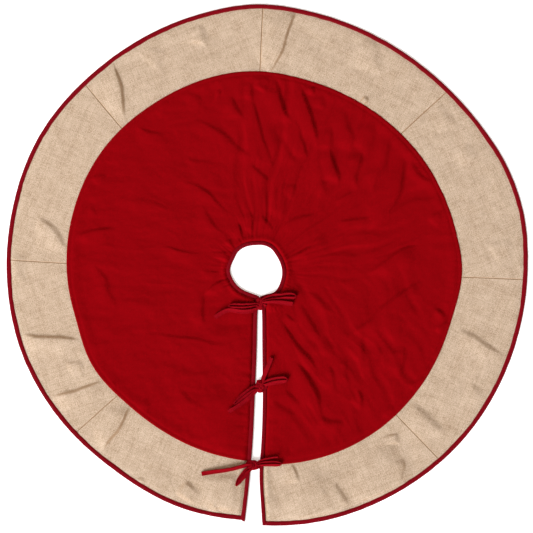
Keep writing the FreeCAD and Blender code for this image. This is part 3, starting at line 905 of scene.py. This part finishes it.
def polar_rows(shares, outer, height, coarse=1, at_fold=0.0):
    """Rows of a cloth from its edge at the neck out, at those shares of the way to outer.

    height is a function of (x, y, phi). Each row has a coarse-th of the usual columns. at_fold draws them
    together at the fold line, in degrees, by one figure for all rows or by one for each."""
    rows = []
    for share, drawn in zip(shares, np.broadcast_to(at_fold, np.shape(shares))):
        middle = NECK_RADIUS + share * (float(outer(np.array([90.0]))[0]) - NECK_RADIUS)
        phi = np.linspace(-90, 270, columns(middle) // coarse + 1)
        phi = phi - drawn * np.sin(np.radians(2 * phi))
        inner = neck(phi) + EDGE_INSET
        r = inner + share * (outer(phi) - inner)
        x, y = place(phi, r, EDGE_INSET)
        rows.append((np.stack([x, y, height(x, y, phi)], axis=1), turned(x, y, CLOTH_TURN)))
    return rows


def make_centre_panel():
    """The red cloth: its upper face is fine, most of all at its hem, and its underside is coarser."""
    long = PANEL_RADIUS - NECK_RADIUS
    fine = 1 - np.array([20, 17.5, 15.5, 13.5, 11.5, 9.5, 7.5, 6, 5, 4.2, 3.2, 2, 1, 0.4, 0.0]) / long
    shares = np.concatenate([np.arange(0, fine[0] - 0.006, 3.9 / long), fine])

    def under(x, y, phi):
        inside = hem(phi) - np.hypot(x, y)
        flat = lie(x, y) + 0.65
        return flat + (1 - smooth(13, 23, inside)) * (burlap_top(x, y, phi) + 0.12 - flat)

    top = polar_rows(shares, hem, red_top)
    at_hem = 1 - np.array([24, 18, 13, 8, 4, 0.3]) / long
    below = np.concatenate([np.arange(0, 1 - 30 / long, 24 / long), at_hem])
    # The underside's columns crowd at the fold line, but not at its edges, where it meets the upper face.
    drawn = 8 * smooth(0, 0.08, below) * (1 - smooth(0.94, 0.995, below))
    return plate("centre_panel", top, polar_rows(below, hem, under, at_fold=drawn), RED)


def cloth_end(phi):
    """Where the lining and the burlap end, inside the rim's binding."""
    return rim(phi) - EDGE_INSET


def make_lining():
    """The cloth under the whole skirt; its underside is the finer face."""

    def under(x, y, phi):
        ripples = 0.14 * np.abs(noise(x / 34, y / 34, 31))
        return lie(x, y) * 0.8 + 0.18 + ripples + 0.05 * noise(x / 11, y / 11, 32)

    def over(x, y, phi):
        return lie(x, y) * 0.8 + 0.50

    top = polar_rows(np.linspace(0, 1, 24), cloth_end, over, 2, 22)
    return plate("lining", top, polar_rows(np.linspace(0, 1, 90), cloth_end, under, 2, 22), LINING)


# The border's seams, each as its inner and its outer end.
SEAMS = [
    ((485, -13), (629, -19)), ((345, 330), (443, 419)), ((7, 471), (14, 619)),
    ((-321, 339), (-398, 434)), ((-452, 19), (-573, 27)), ((-329, -292), (-418, -372)), None,
    ((329, -339), (423, -437)), ((485, -13), (629, -19)),
]
# Each panel's two seams; the slit takes the place of one that is None.
SIDES = list(zip(SEAMS, SEAMS[1:]))


# How each panel's grain is turned from its own middle direction, in degrees.
PANEL_TURNS = (1.5, -2, 1, 2.5, -1.5, 2, -1, 1.8)
# The radius of the border's middle, a panel's length there, its reach under the hem, and its cell rows.
BORDER_MIDDLE = 530
BORDER_LONG = 416
UNDER_HEM = 11.5
BORDER_ROWS = 64


def make_border_panel(number):
    """A burlap panel between two seams, or between a seam and the slit."""
    first, last = SIDES[number - 1]

    def direction(seam, share, at_slit):
        """The seam's direction at a share of the way out."""
        if seam is None:
            return np.full(share.shape, at_slit)
        inner, outer = (math.degrees(math.atan2(p[1], p[0])) for p in seam)
        if number in (4, 5, 6) and inner < 0:
            inner, outer = inner + 360, outer + 360
        return inner + (outer - inner) * share

    near_seam = []

    def rows(count, thin, height):
        made = []
        for share in np.linspace(0, 1, count + 1):
            at = np.array([share])
            a = direction(first, at, -90.0)[0]
            b = direction(last, at, 270.0)[0]
            phi = a + (b - a) * shares[::thin]
            inner = hem(phi) - UNDER_HEM
            r = inner + share * (cloth_end(phi) - inner)
            x, y = place(phi, r, EDGE_INSET)
            seam = np.ones(phi.shape) * 1e3
            if first is not None:
                seam = np.minimum(seam, np.radians(phi - a) * r)
            if last is not None:
                seam = np.minimum(seam, np.radians(b - phi) * r)
            points = np.stack([x, y, height(x, y, phi, seam)], axis=1)
            made.append((points, turned(x, y, grain, centre)))
            near_seam.append(seam)
        return made

    close = np.array([0, 0.3, 0.6, 1.0, 1.6, 2.6, 4.2, 5.8]) / BORDER_LONG
    shares = np.concatenate([close, np.linspace(8, 408, 185) / BORDER_LONG, 1 - close[::-1]])
    start = -90.0 if first is None else math.degrees(math.atan2(first[0][1], first[0][0]))
    stop = 270.0 if last is None else math.degrees(math.atan2(last[0][1], last[0][0])) % 360
    middle = (start + stop) / 2 if stop > start else (start + stop + 360) / 2
    grain = middle + PANEL_TURNS[number - 1]
    centre = (
        BORDER_MIDDLE * math.cos(math.radians(middle)), BORDER_MIDDLE * math.sin(math.radians(middle)),
    )

    def over(x, y, phi, seam):
        dip = 1.2 * np.exp(-((seam / 0.6) ** 2))
        pull = 0.25 * np.exp(-((seam / 9) ** 2)) * noise(np.hypot(x, y) / 9, phi / 40, 40 + number)
        return np.maximum(burlap_top(x, y, phi) - dip + pull, lie(x, y) + 0.72)

    def under(x, y, phi, seam):
        return lie(x, y) + 0.60 + 0.04 * np.exp(-seam)

    top = rows(BORDER_ROWS, 1, over)
    piece = plate(f"burlap_panel_{number}", top, rows(6, 4, under), BURLAP)
    x, y, _ = np.concatenate([p for p, _ in top]).T
    phi = polar_of(x, y)
    level = burlap_relief(x, y, phi)
    rise = np.hypot(burlap_relief(x + 1, y, phi) - level, burlap_relief(x, y + 1, phi) - level)
    # The upper face gets painted shade: a brown along its seams, for the shade in their grooves and their
    # crushed yarns, and on its steep folds, for the shade that falls there.
    off = np.concatenate(near_seam[:BORDER_ROWS + 1])
    seam_and_fold_shade = np.exp(-((off / 1.15) ** 2)) * (0.9 if number in (2, 3) else 0.7)
    steep = 0.55 * smooth(0.22, 0.75, rise) * smooth(3, 14, rim(phi) - np.hypot(x, y))
    seam_and_fold_shade = np.maximum(seam_and_fold_shade, steep)
    seam_and_fold_shade = np.concatenate([seam_and_fold_shade, np.zeros(len(piece.data.vertices) - len(seam_and_fold_shade))])
    # The seam attribute carries this painted shade to the burlap's material.
    shade = piece.data.attributes.new("seam", "FLOAT", "POINT")
    shade.data.foreach_set("value", seam_and_fold_shade.astype(np.float32))
    return piece


# Tapes folded round the cloth's raw edges, and their stitches.


def tape(name, edge, inward, top_height, width, seed, rough=0.16):
    """A tape folded round an edge, and a function that gives the points of its upper face.

    edge is its path in plan, inward the unit directions into the cloth, and top_height a function of
    (x, y) for the upper face. rough is how strongly it puckers."""
    steps = np.concatenate([[0], np.cumsum(np.linalg.norm(np.diff(edge, axis=0), axis=1))])
    pucker = noise(steps / 6.5, steps * 0 + seed, seed) + 0.6 * noise(steps / 15, steps * 0, seed + 1)
    uneven = 1 + 0.10 * noise(steps / 60, steps * 0, seed + 2)
    wide = width * (uneven + 0.04 * noise(steps / 18, steps * 0, seed + 3))

    def plan(share):
        """share is from 0 at the fold to 1 at the tape's inner edge."""
        u = share * wide
        return edge[:, 0] + inward[:, 0] * u, edge[:, 1] + inward[:, 1] * u

    def upper(share, lift=0.0):
        x, y = plan(share)
        plump = 0.9 * np.sin(np.pi * np.clip(0.12 + 0.88 * share, 0, 1)) ** 0.7
        stitched = 0.45 * np.exp(-(((share * wide - wide + 1.8) / 0.8) ** 2))
        puckered = rough * pucker * np.sin(np.pi * np.clip(share, 0.05, 0.98))
        return np.stack([x, y, top_height(x, y) + plump - stitched + puckered + lift], axis=1)

    def lower(share, lift=0.0):
        x, y = plan(share)
        return np.stack([x, y, lie(x, y) * 0.5 + lift], axis=1)

    top_rim = upper(0.0)
    low_rim = lower(0.0)
    thick = top_rim[:, 2] - low_rim[:, 2]
    # Once round the tape: its upper face, the turn at its fold, its lower face, and back inside both.
    ring_points = []
    for share in (1.0, 0.97, 0.84, 0.72, 0.6, 0.45, 0.3, 0.18, 0.09):
        lift = -0.28 if share == 1.0 else 0.0
        ring_points.append(upper(share, lift))
    for turn in np.radians((62, 35, 10, -15, -40, -65)):
        p = (top_rim + low_rim) / 2
        p[:, 2] += np.sin(turn) * thick / 2
        bulge = 0.09 * width * (1 - np.cos(turn)) - 0.02 * width
        p[:, 0] += inward[:, 0] * bulge
        p[:, 1] += inward[:, 1] * bulge
        ring_points.append(p)
    for share in (0.10, 0.35, 0.65, 0.97, 1.0):
        ring_points.append(lower(share, 0.12 if share == 1.0 else 0.0))
    for share in (0.97, 0.6, 0.25):
        ring_points.append(lower(share, 0.5))
    for share in (0.25, 0.6, 0.97):
        ring_points.append(upper(share, -0.55))
    sections = np.stack(ring_points, axis=1)
    around = np.concatenate([[0], np.cumsum(np.linalg.norm(np.diff(sections[0], axis=0), axis=1))])
    uvs = np.stack(np.broadcast_arrays(steps[:, None] * MM, around[None, :] * MM), axis=-1)
    return swept(name, sections, uvs, TAPE), upper


def stitches(name, lines, seed, pitch=3.2, long=2.5, radius=0.28):
    """Rows of short stitches along the lines of points, each a round-ended thread half sunk in the cloth.

    A stitch has four rings of six points, 24 in all. profile gives each ring's place and size."""
    jitter = np.random.default_rng(seed)
    turn = (np.arange(6) * np.pi / 3)[:, None]
    profile = [(-0.5, 0.35), (-0.3, 0.95), (0.3, 0.95), (0.5, 0.35)]
    j = np.arange(6)
    k = (j + 1) % 6
    shell = [np.stack([a + j, a + k, a + 6 + k, a + 6 + j], axis=1) for a in (0, 6, 12)]
    shell.append(np.array([[0, 5, 4, 3], [0, 3, 2, 1], [18, 19, 20, 21], [18, 21, 22, 23]]))
    shell = np.concatenate(shell)
    verts, faces, uvs = [], [], []
    for line in lines:
        path, at = spaced(line, pitch)
        for i in range(len(path) - 1):
            centre = (path[i] + path[i + 1]) / 2
            along = path[i + 1] - path[i]
            along = along / np.linalg.norm(along)
            side = np.array([-along[1], along[0], 0.0])
            side /= np.linalg.norm(side)
            along = along + side * jitter.normal(0, 0.05)
            up = np.cross(along, side)
            faces.append(shell + 24 * len(faces))
            for share, wide in profile:
                hub = centre + along * share * long
                hub[2] -= 0.5 * abs(share) * radius
                verts.append(hub + radius * wide * (np.cos(turn) * side + np.sin(turn) * up))
                uvs.append(np.column_stack([np.full(6, at[i] + share * long), turn * radius]) * MM)
    return build(name, np.concatenate(verts), faces, np.concatenate(uvs), THREAD)


def normals_of(edge, centre_side):
    """Unit directions across a plan path, to its left (1) or right (-1)."""
    d = np.gradient(edge, axis=0)
    n = np.stack([-d[:, 1], d[:, 0]], axis=1) * centre_side
    return n / np.linalg.norm(n, axis=1)[:, None]


def polar_of(x, y):
    """The even direction of a plan point, near enough for the height functions."""
    return (np.degrees(np.arctan2(y, x)) + 92.5) % 360 - 92.5


def burlap_at(x, y):
    """The burlap's upper face at a plan point."""
    return burlap_top(x, y, polar_of(x, y))


def cloth_at(x, y):
    """The upper face of whichever cloth shows at a plan point."""
    phi = polar_of(x, y)
    r = np.hypot(x, y)
    red = r < hem(phi)
    return np.where(red, red_top(x, y, phi), burlap_top(x, y, phi))


def make_outer_binding():
    phi = np.linspace(-90, 270, 1300)
    edge = np.stack(place(phi, rim(phi)), axis=1)
    edge += normals_of(edge, 1) * 0.35 * noise(phi / 2.2, phi * 0, 60)[:, None]
    piece, upper = tape(
        "outer_binding", edge, normals_of(edge, 1), lambda x, y: burlap_at(x, y) + 0.55, 10.5, 52,
    )
    return piece, stitches("outer_stitching", [upper(0.82, 0.04)], seed=2)


def make_neck_binding():
    phi = np.linspace(-90, 270, 300)
    edge = np.stack(place(phi, neck(phi)), axis=1)
    piece, upper = tape(
        "neck_binding", edge, normals_of(edge, -1), lambda x, y: cloth_at(x, y) + 1.10, 9.0, 55, 0.5,
    )
    return piece, stitches("neck_stitching", [upper(0.84, 0.06)], seed=3)


def make_slit_binding(side):
    left = side == "left"
    phi = 270.0 if left else -90.0
    far = float(rim(np.array([phi]))[0]) + (3.0 if left else -7.0)
    r = np.linspace(64, far, 240)
    edge = np.stack(place(np.full(r.shape, phi), r), axis=1)
    # The left tape's outer end is rounded off.
    rounded = np.sqrt(1 - np.clip((r - far + 8) / 8.5, 0, 1) ** 2) if left else 1.0
    piece, upper = tape(
        f"slit_tape_{side}", edge, normals_of(edge, -1 if left else 1),
        lambda x, y: cloth_at(x, y) + 1.45, (9.7 if left else 8.5) * rounded, 57 if left else 59, 0.36,
    )
    return piece, stitches(f"slit_{side}_stitching", [upper(0.84, 0.05)], seed=4 if left else 5)


def make_hem_stitching():
    phi = np.linspace(-89.2, 269.2, 1100)
    r = hem(phi) - 4.5
    x, y = place(phi, r, 2.0)
    line = np.stack([x, y, red_top(x, y, phi) + 0.10], axis=1)
    # The row ends short of the slit's tapes.
    return stitches("hem_stitching", [line[12:-12]], seed=6)


# The ties: straps swept along their way through a bow.


# The strap's width and thickness, and how much its faces waver.
STRAP_WIDTH = 10.6
STRAP_THICK = 1.9
STRAP_WAVER = 0.5
# How high a strap may stand, and the height that is left for it in any case.
STRAP_TOP = 12.0
STRAP_ROOM = 3.2


def strap(name, way, knot_at, seed):
    """A stitched strap along its way, its rows of stitches, and its length.

    The way's points are (x, y, lift, tilt): how far it is raised above the cloth that it would rest on,
    and how far it is turned about its own length, in degrees; 0 lies flat and 90 stands on its edge. It
    is crushed narrower inside the knot, and where it would stand too high."""
    path, at = spaced(rounded_path(way, 3), 1.6, 2)
    tilt = np.radians(path[:, 3])
    crush = 0.68 + 0.32 * smooth(7, 20, np.hypot(path[:, 0] - knot_at[0], path[:, 1] - knot_at[1]))
    # The strap rests on the highest cloth near it, evened out along its way.
    around = ((0, 0), (4, 0), (-4, 0), (0, 4), (0, -4))
    under = np.max([cloth_at(path[:, 0] + dx, path[:, 1] + dy) for dx, dy in around], axis=0)
    under = np.convolve(np.pad(under, 5, mode="edge"), np.ones(11) / 11, mode="valid")
    room = np.maximum(STRAP_TOP - under - path[:, 2], STRAP_ROOM) / 2
    room = room / np.maximum(np.abs(np.sin(tilt)), 0.05)
    half = np.minimum(crush * STRAP_WIDTH / 2, room)
    half = np.convolve(np.pad(half, 3, mode="edge"), np.ones(7) / 7, mode="valid")
    rest = np.abs(np.sin(tilt)) * half + np.abs(np.cos(tilt)) * STRAP_THICK / 2 + 0.2
    line = np.column_stack([path[:, :2], under + rest + path[:, 2]])
    d = np.gradient(line, axis=0)
    d /= np.linalg.norm(d, axis=1)[:, None]
    flat = np.stack([-d[:, 1], d[:, 0], np.zeros(len(d))], axis=1)
    flat /= np.maximum(np.linalg.norm(flat, axis=1), 1e-6)[:, None]
    up = np.cross(d, flat)
    across = np.cos(tilt)[:, None] * flat + np.sin(tilt)[:, None] * up
    face = np.cross(d, across)
    half = half[:, None]
    # The strap's section, as shares of its half width and of its thickness.
    outline = [
        (-1.0, 0.0), (-0.96, 0.50), (-0.84, 0.66), (-0.66, 0.22), (-0.35, 0.44), (0.0, 0.52),
        (0.35, 0.44), (0.66, 0.22), (0.84, 0.66), (0.96, 0.50), (1.0, 0.0), (0.96, -0.50),
        (0.84, -0.66), (0.66, -0.22), (0.0, -0.44), (-0.66, -0.22), (-0.84, -0.66), (-0.96, -0.50),
    ]
    sections, uvs = [], []
    for a, b in outline:
        wave = STRAP_WAVER * noise(at / 9, at * 0 + a * 1.3, seed)
        wave += 0.5 * STRAP_WAVER * noise(at / 4, at * 0 + a * 2, seed + 1)
        sections.append(line + across * a * half + face * (b * STRAP_THICK + wave)[:, None])
        v = a * STRAP_WIDTH / 2 + (20 if b < 0 else 0)
        uvs.append(np.stack([at, np.full(at.shape, v)], axis=1) * MM)
    piece = swept(name, np.stack(sections, axis=1), np.stack(uvs, axis=1), TIE)
    raised = 0.22 * STRAP_THICK + 0.08
    lines = [line + across * s * half * 0.66 + face * f * raised for s in (-1, 1) for f in (-1, 1)]
    return piece, lines, at[-1]


# Each tie's way from its sewn end through the knot, round its loop, and out along its tail.
TIES = {
    "top_left": [
        (-6, -81, 0.3, 0), (0, -79, 0.6, 50), (6, -77, 1, 80), (0, -75, 1.2, 120),
        (-16, -76.5, 0.8, 136), (-40, -78, 0.5, 138), (-58, -78, 0.4, 134), (-68, -81, 0.4, 100),
        (-60, -84.8, 0.4, 50), (-42, -85.4, 0.5, 43), (-20, -84, 0.8, 43), (-4, -80, 1.4, 70),
        (5, -80, 1.4, 110), (2, -87, 1.4, 150), (-12, -92.5, 1.8, 160), (-32, -94.5, 1.8, 160),
        (-50, -92, 1.8, 158), (-65, -89.5, 2.0, 158), (-79, -94, 2.2, 158), (-99, -107.5, 2, 160),
    ],
    "top_right": [
        (21, -82, 0.3, 180), (16, -79, 0.6, 150), (8, -75, 1, 100), (12, -67, 1.2, 70),
        (24, -60, 0.9, 46), (44, -55, 0.6, 43), (70, -52.5, 0.5, 43), (86, -53.2, 0.4, 56),
        (93.5, -57.5, 0.4, 90), (87, -62, 0.4, 126), (70, -61.8, 0.5, 136), (44, -62.5, 0.8, 136),
        (22, -66, 1.2, 124), (10, -72, 1.6, 95), (16, -72.5, 2, 40), (34, -70.5, 2, 24),
        (56, -72, 2, 22), (84, -76, 1.8, 20),
    ],
    "middle_left": [
        (-10, -270, 0.3, 0), (-2, -269, 0.6, 50), (6, -268, 1, 90), (-4, -268, 1.2, 130),
        (-20, -278, 0.8, 148), (-36, -291.5, 0.5, 150), (-49, -303, 0.4, 140),
        (-55, -309.5, 0.4, 90), (-49, -310.5, 0.4, 44), (-36, -300.5, 0.5, 30),
        (-20, -287, 0.8, 30), (-4, -276, 1.4, 60), (5, -274, 1.6, 110), (-4, -282, 1.4, 150),
        (-17, -294, 1.4, 160), (-34, -307.5, 1.6, 160), (-50, -318, 1.9, 160),
        (-67, -328, 1.8, 162),
    ],
    "middle_right": [
        (24, -270, 0.3, 180), (17, -269, 0.6, 150), (10, -267, 1, 100), (18, -259, 1.2, 50),
        (32, -253.5, 0.8, 30), (52, -250, 0.5, 30), (66, -249.5, 0.4, 40), (73, -253.2, 0.4, 90),
        (66, -257.4, 0.4, 140), (52, -258.6, 0.5, 150), (32, -262, 0.9, 150), (16, -267, 1.4, 125),
        (10, -262, 1.6, 140), (14, -252, 1.8, 156), (20, -237, 2, 158), (27, -220, 2.2, 158),
        (34, -202, 2, 160),
    ],
    "bottom_left": [
        (-24, -458, 0.3, 0), (-15, -456, 0.6, 50), (-9, -454, 1, 90), (-16, -458, 1.2, 130),
        (-26, -465, 1, 148), (-38, -480, 0.7, 150), (-47, -493.5, 0.5, 142), (-50.5, -503, 0.4, 90),
        (-45, -499.5, 0.5, 42), (-35.5, -486.5, 0.7, 30), (-25, -473.5, 1, 30),
        (-13, -463, 1.4, 60), (-6, -456, 1.6, 110), (-14, -452, 2, 142), (-26, -454, 2, 152),
        (-42, -458.5, 2, 148), (-62, -464, 2, 142), (-84, -467.5, 1.6, 155), (-104, -470, 1, 166),
        (-130, -474.5, 0.6, 172),
    ],
    "bottom_right": [
        (8, -458, 0.3, 180), (1, -457, 0.6, 150), (-6, -455, 1, 100), (4, -450, 1.2, 60),
        (16, -447, 1, 44), (34, -446, 0.7, 42), (51, -447.3, 0.5, 48), (59, -450.8, 0.4, 90),
        (52, -454, 0.4, 132), (36, -453, 0.6, 138), (16, -453.5, 1, 134), (0, -454, 1.6, 100),
        (-3, -450, 1.8, 60), (8, -443, 1.6, 46), (22, -438.5, 1.1, 44), (36, -436, 0.8, 46),
        (49, -434.5, 0.6, 46),
    ],
}
# Each knot: its centre, the direction of its band in plan, and the band's reach along and across that.
KNOTS = {
    "top": ((7.0, -75.5), 62, 14.5, 10.5),
    "middle": ((6.5, -269.0), 40, 13.0, 13.0),
    "bottom": ((-10.0, -454.0), 98, 12.0, 15.0),
}


# The height of the knots' middle, and of the cloth that flattens them below.
KNOT_MIDDLE = 6.3
KNOT_FOOT = 2.2


def make_knot(name):
    """The turn of a tie round the other's loops, as a plump band crushed into deep creases."""
    (cx, cy), turn, reach, half_width = KNOTS[name]
    seed = 80 + len(name)
    a = math.radians(turn)
    along = np.array([math.cos(a), math.sin(a), 0])
    across = np.array([-math.sin(a), math.cos(a), 0])
    turns = np.radians(np.linspace(-180, 180, 121))[:-1]
    shares = np.linspace(-1, 1, 41)
    sections, uvs = [], []
    for w in shares:
        bulge = (1 - 0.92 * abs(w) ** 3.2) ** 0.5
        sway = w * 2.1 + 0.5 * noise(turns * 0.9 + 7, turns * 0 + w * 2, seed)
        crease = np.abs(noise(sway * 1.6, turns * 0 + 1.5 * np.sin(turns), seed + 1))
        crease = np.minimum(crease / 0.22, 1) ** 0.7 - 1
        lump = 0.5 * noise(w * 3.4 + np.cos(turns), 2.6 * np.sin(turns) + w, seed + 2)
        rr = reach * bulge + 0.7 * lump
        zz = 4.6 * bulge + lump + 1.9 * crease * bulge
        p = np.array([cx, cy, KNOT_MIDDLE]) + along * (np.sin(turns) * rr)[:, None]
        spread = w * half_width * (0.86 + 0.14 * np.abs(np.sin(turns))) + 2.0 * np.sin(turns)
        p = p + across * spread[:, None]
        p[:, 2] += np.cos(turns) * zz
        p[:, 2] = np.maximum(p[:, 2], KNOT_FOOT)
        sections.append(p)
        uvs.append(np.stack([turns * 9, np.full(turns.shape, w * half_width)], axis=1) * MM)
    return swept(f"{name}_bow_knot", np.array(sections), np.array(uvs), TIE)


# Put the skirt together.


def bends(piece):
    """Bakes the piece's placement into its points. The fold line's normal is worked out here but not
    used, so the piece does not bend.
    """
    normal = np.array([FOLD_LINE[1], -FOLD_LINE[0], 0.0])
    if normal[1] < 0:
        normal = -normal
    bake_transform(piece)


centre_panel = make_centre_panel()
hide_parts(*cad("centre_panel"))
bends(centre_panel)

lining = make_lining()
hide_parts(*cad("lining"))
bends(lining)

for number in range(1, 9):
    panel = make_border_panel(number)
    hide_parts(f"border_panel_{number}")
    if number in (1, 4, 5, 8):
        bends(panel)
    else:
        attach(panel, "back_half" if number in (2, 3) else "front_half")

outer_binding, outer_stitching = make_outer_binding()
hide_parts(*cad("outer_binding"))
neck_binding, neck_stitching = make_neck_binding()
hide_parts(*cad("neck_binding"))
hem_stitching = make_hem_stitching()
for piece in (outer_binding, outer_stitching, neck_binding, neck_stitching, hem_stitching):
    bends(piece)
for side in ("left", "right"):
    binding, stitching = make_slit_binding(side)
    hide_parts(f"slit_binding_{side}")
    for piece in (binding, stitching):
        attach(piece, "front_half")

tie_seed = 70
for bow in BOWS:
    knot = make_knot(bow)
    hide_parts(f"{bow}_knot")
    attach(knot, "front_half")
    for side in ("left", "right"):
        tie, lines, long = strap(f"{bow}_{side}_tie", TIES[f"{bow}_{side}"], KNOTS[bow][0], tie_seed)
        tie_seed += 1
        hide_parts(f"{bow}_{side}_lead", f"{bow}_{side}_loop", f"{bow}_{side}_tail")
        sewing = stitches(f"{bow}_{side}_tie_stitching", lines, 9, 3.0, 2.2, 0.2)
        for piece in (tie, sewing):
            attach(piece, "front_half")


def make_stage():
    """A round floor, and a low pale wall far round it."""
    around = np.radians(np.arange(0, 360, 3.0))
    circle = np.stack([np.cos(around), np.sin(around)], axis=1) * STAGE_RADIUS
    n = len(circle)
    foot = np.column_stack([circle, np.full(n, -STAGE_DROP)])
    head = np.column_stack([circle, np.full(n, STAGE_HEIGHT)])
    verts = np.vstack([[[0, 0, -STAGE_DROP]], foot, head])
    j = np.arange(n)
    k = (j + 1) % n
    disc = np.stack([np.zeros(n, int), 1 + j, 1 + k], axis=1)
    wall = np.stack([1 + j, 1 + n + j, 1 + n + k, 1 + k], axis=1)
    return build("floor", verts, [disc, wall], verts[:, :2] * MM, FLOOR)


make_stage()
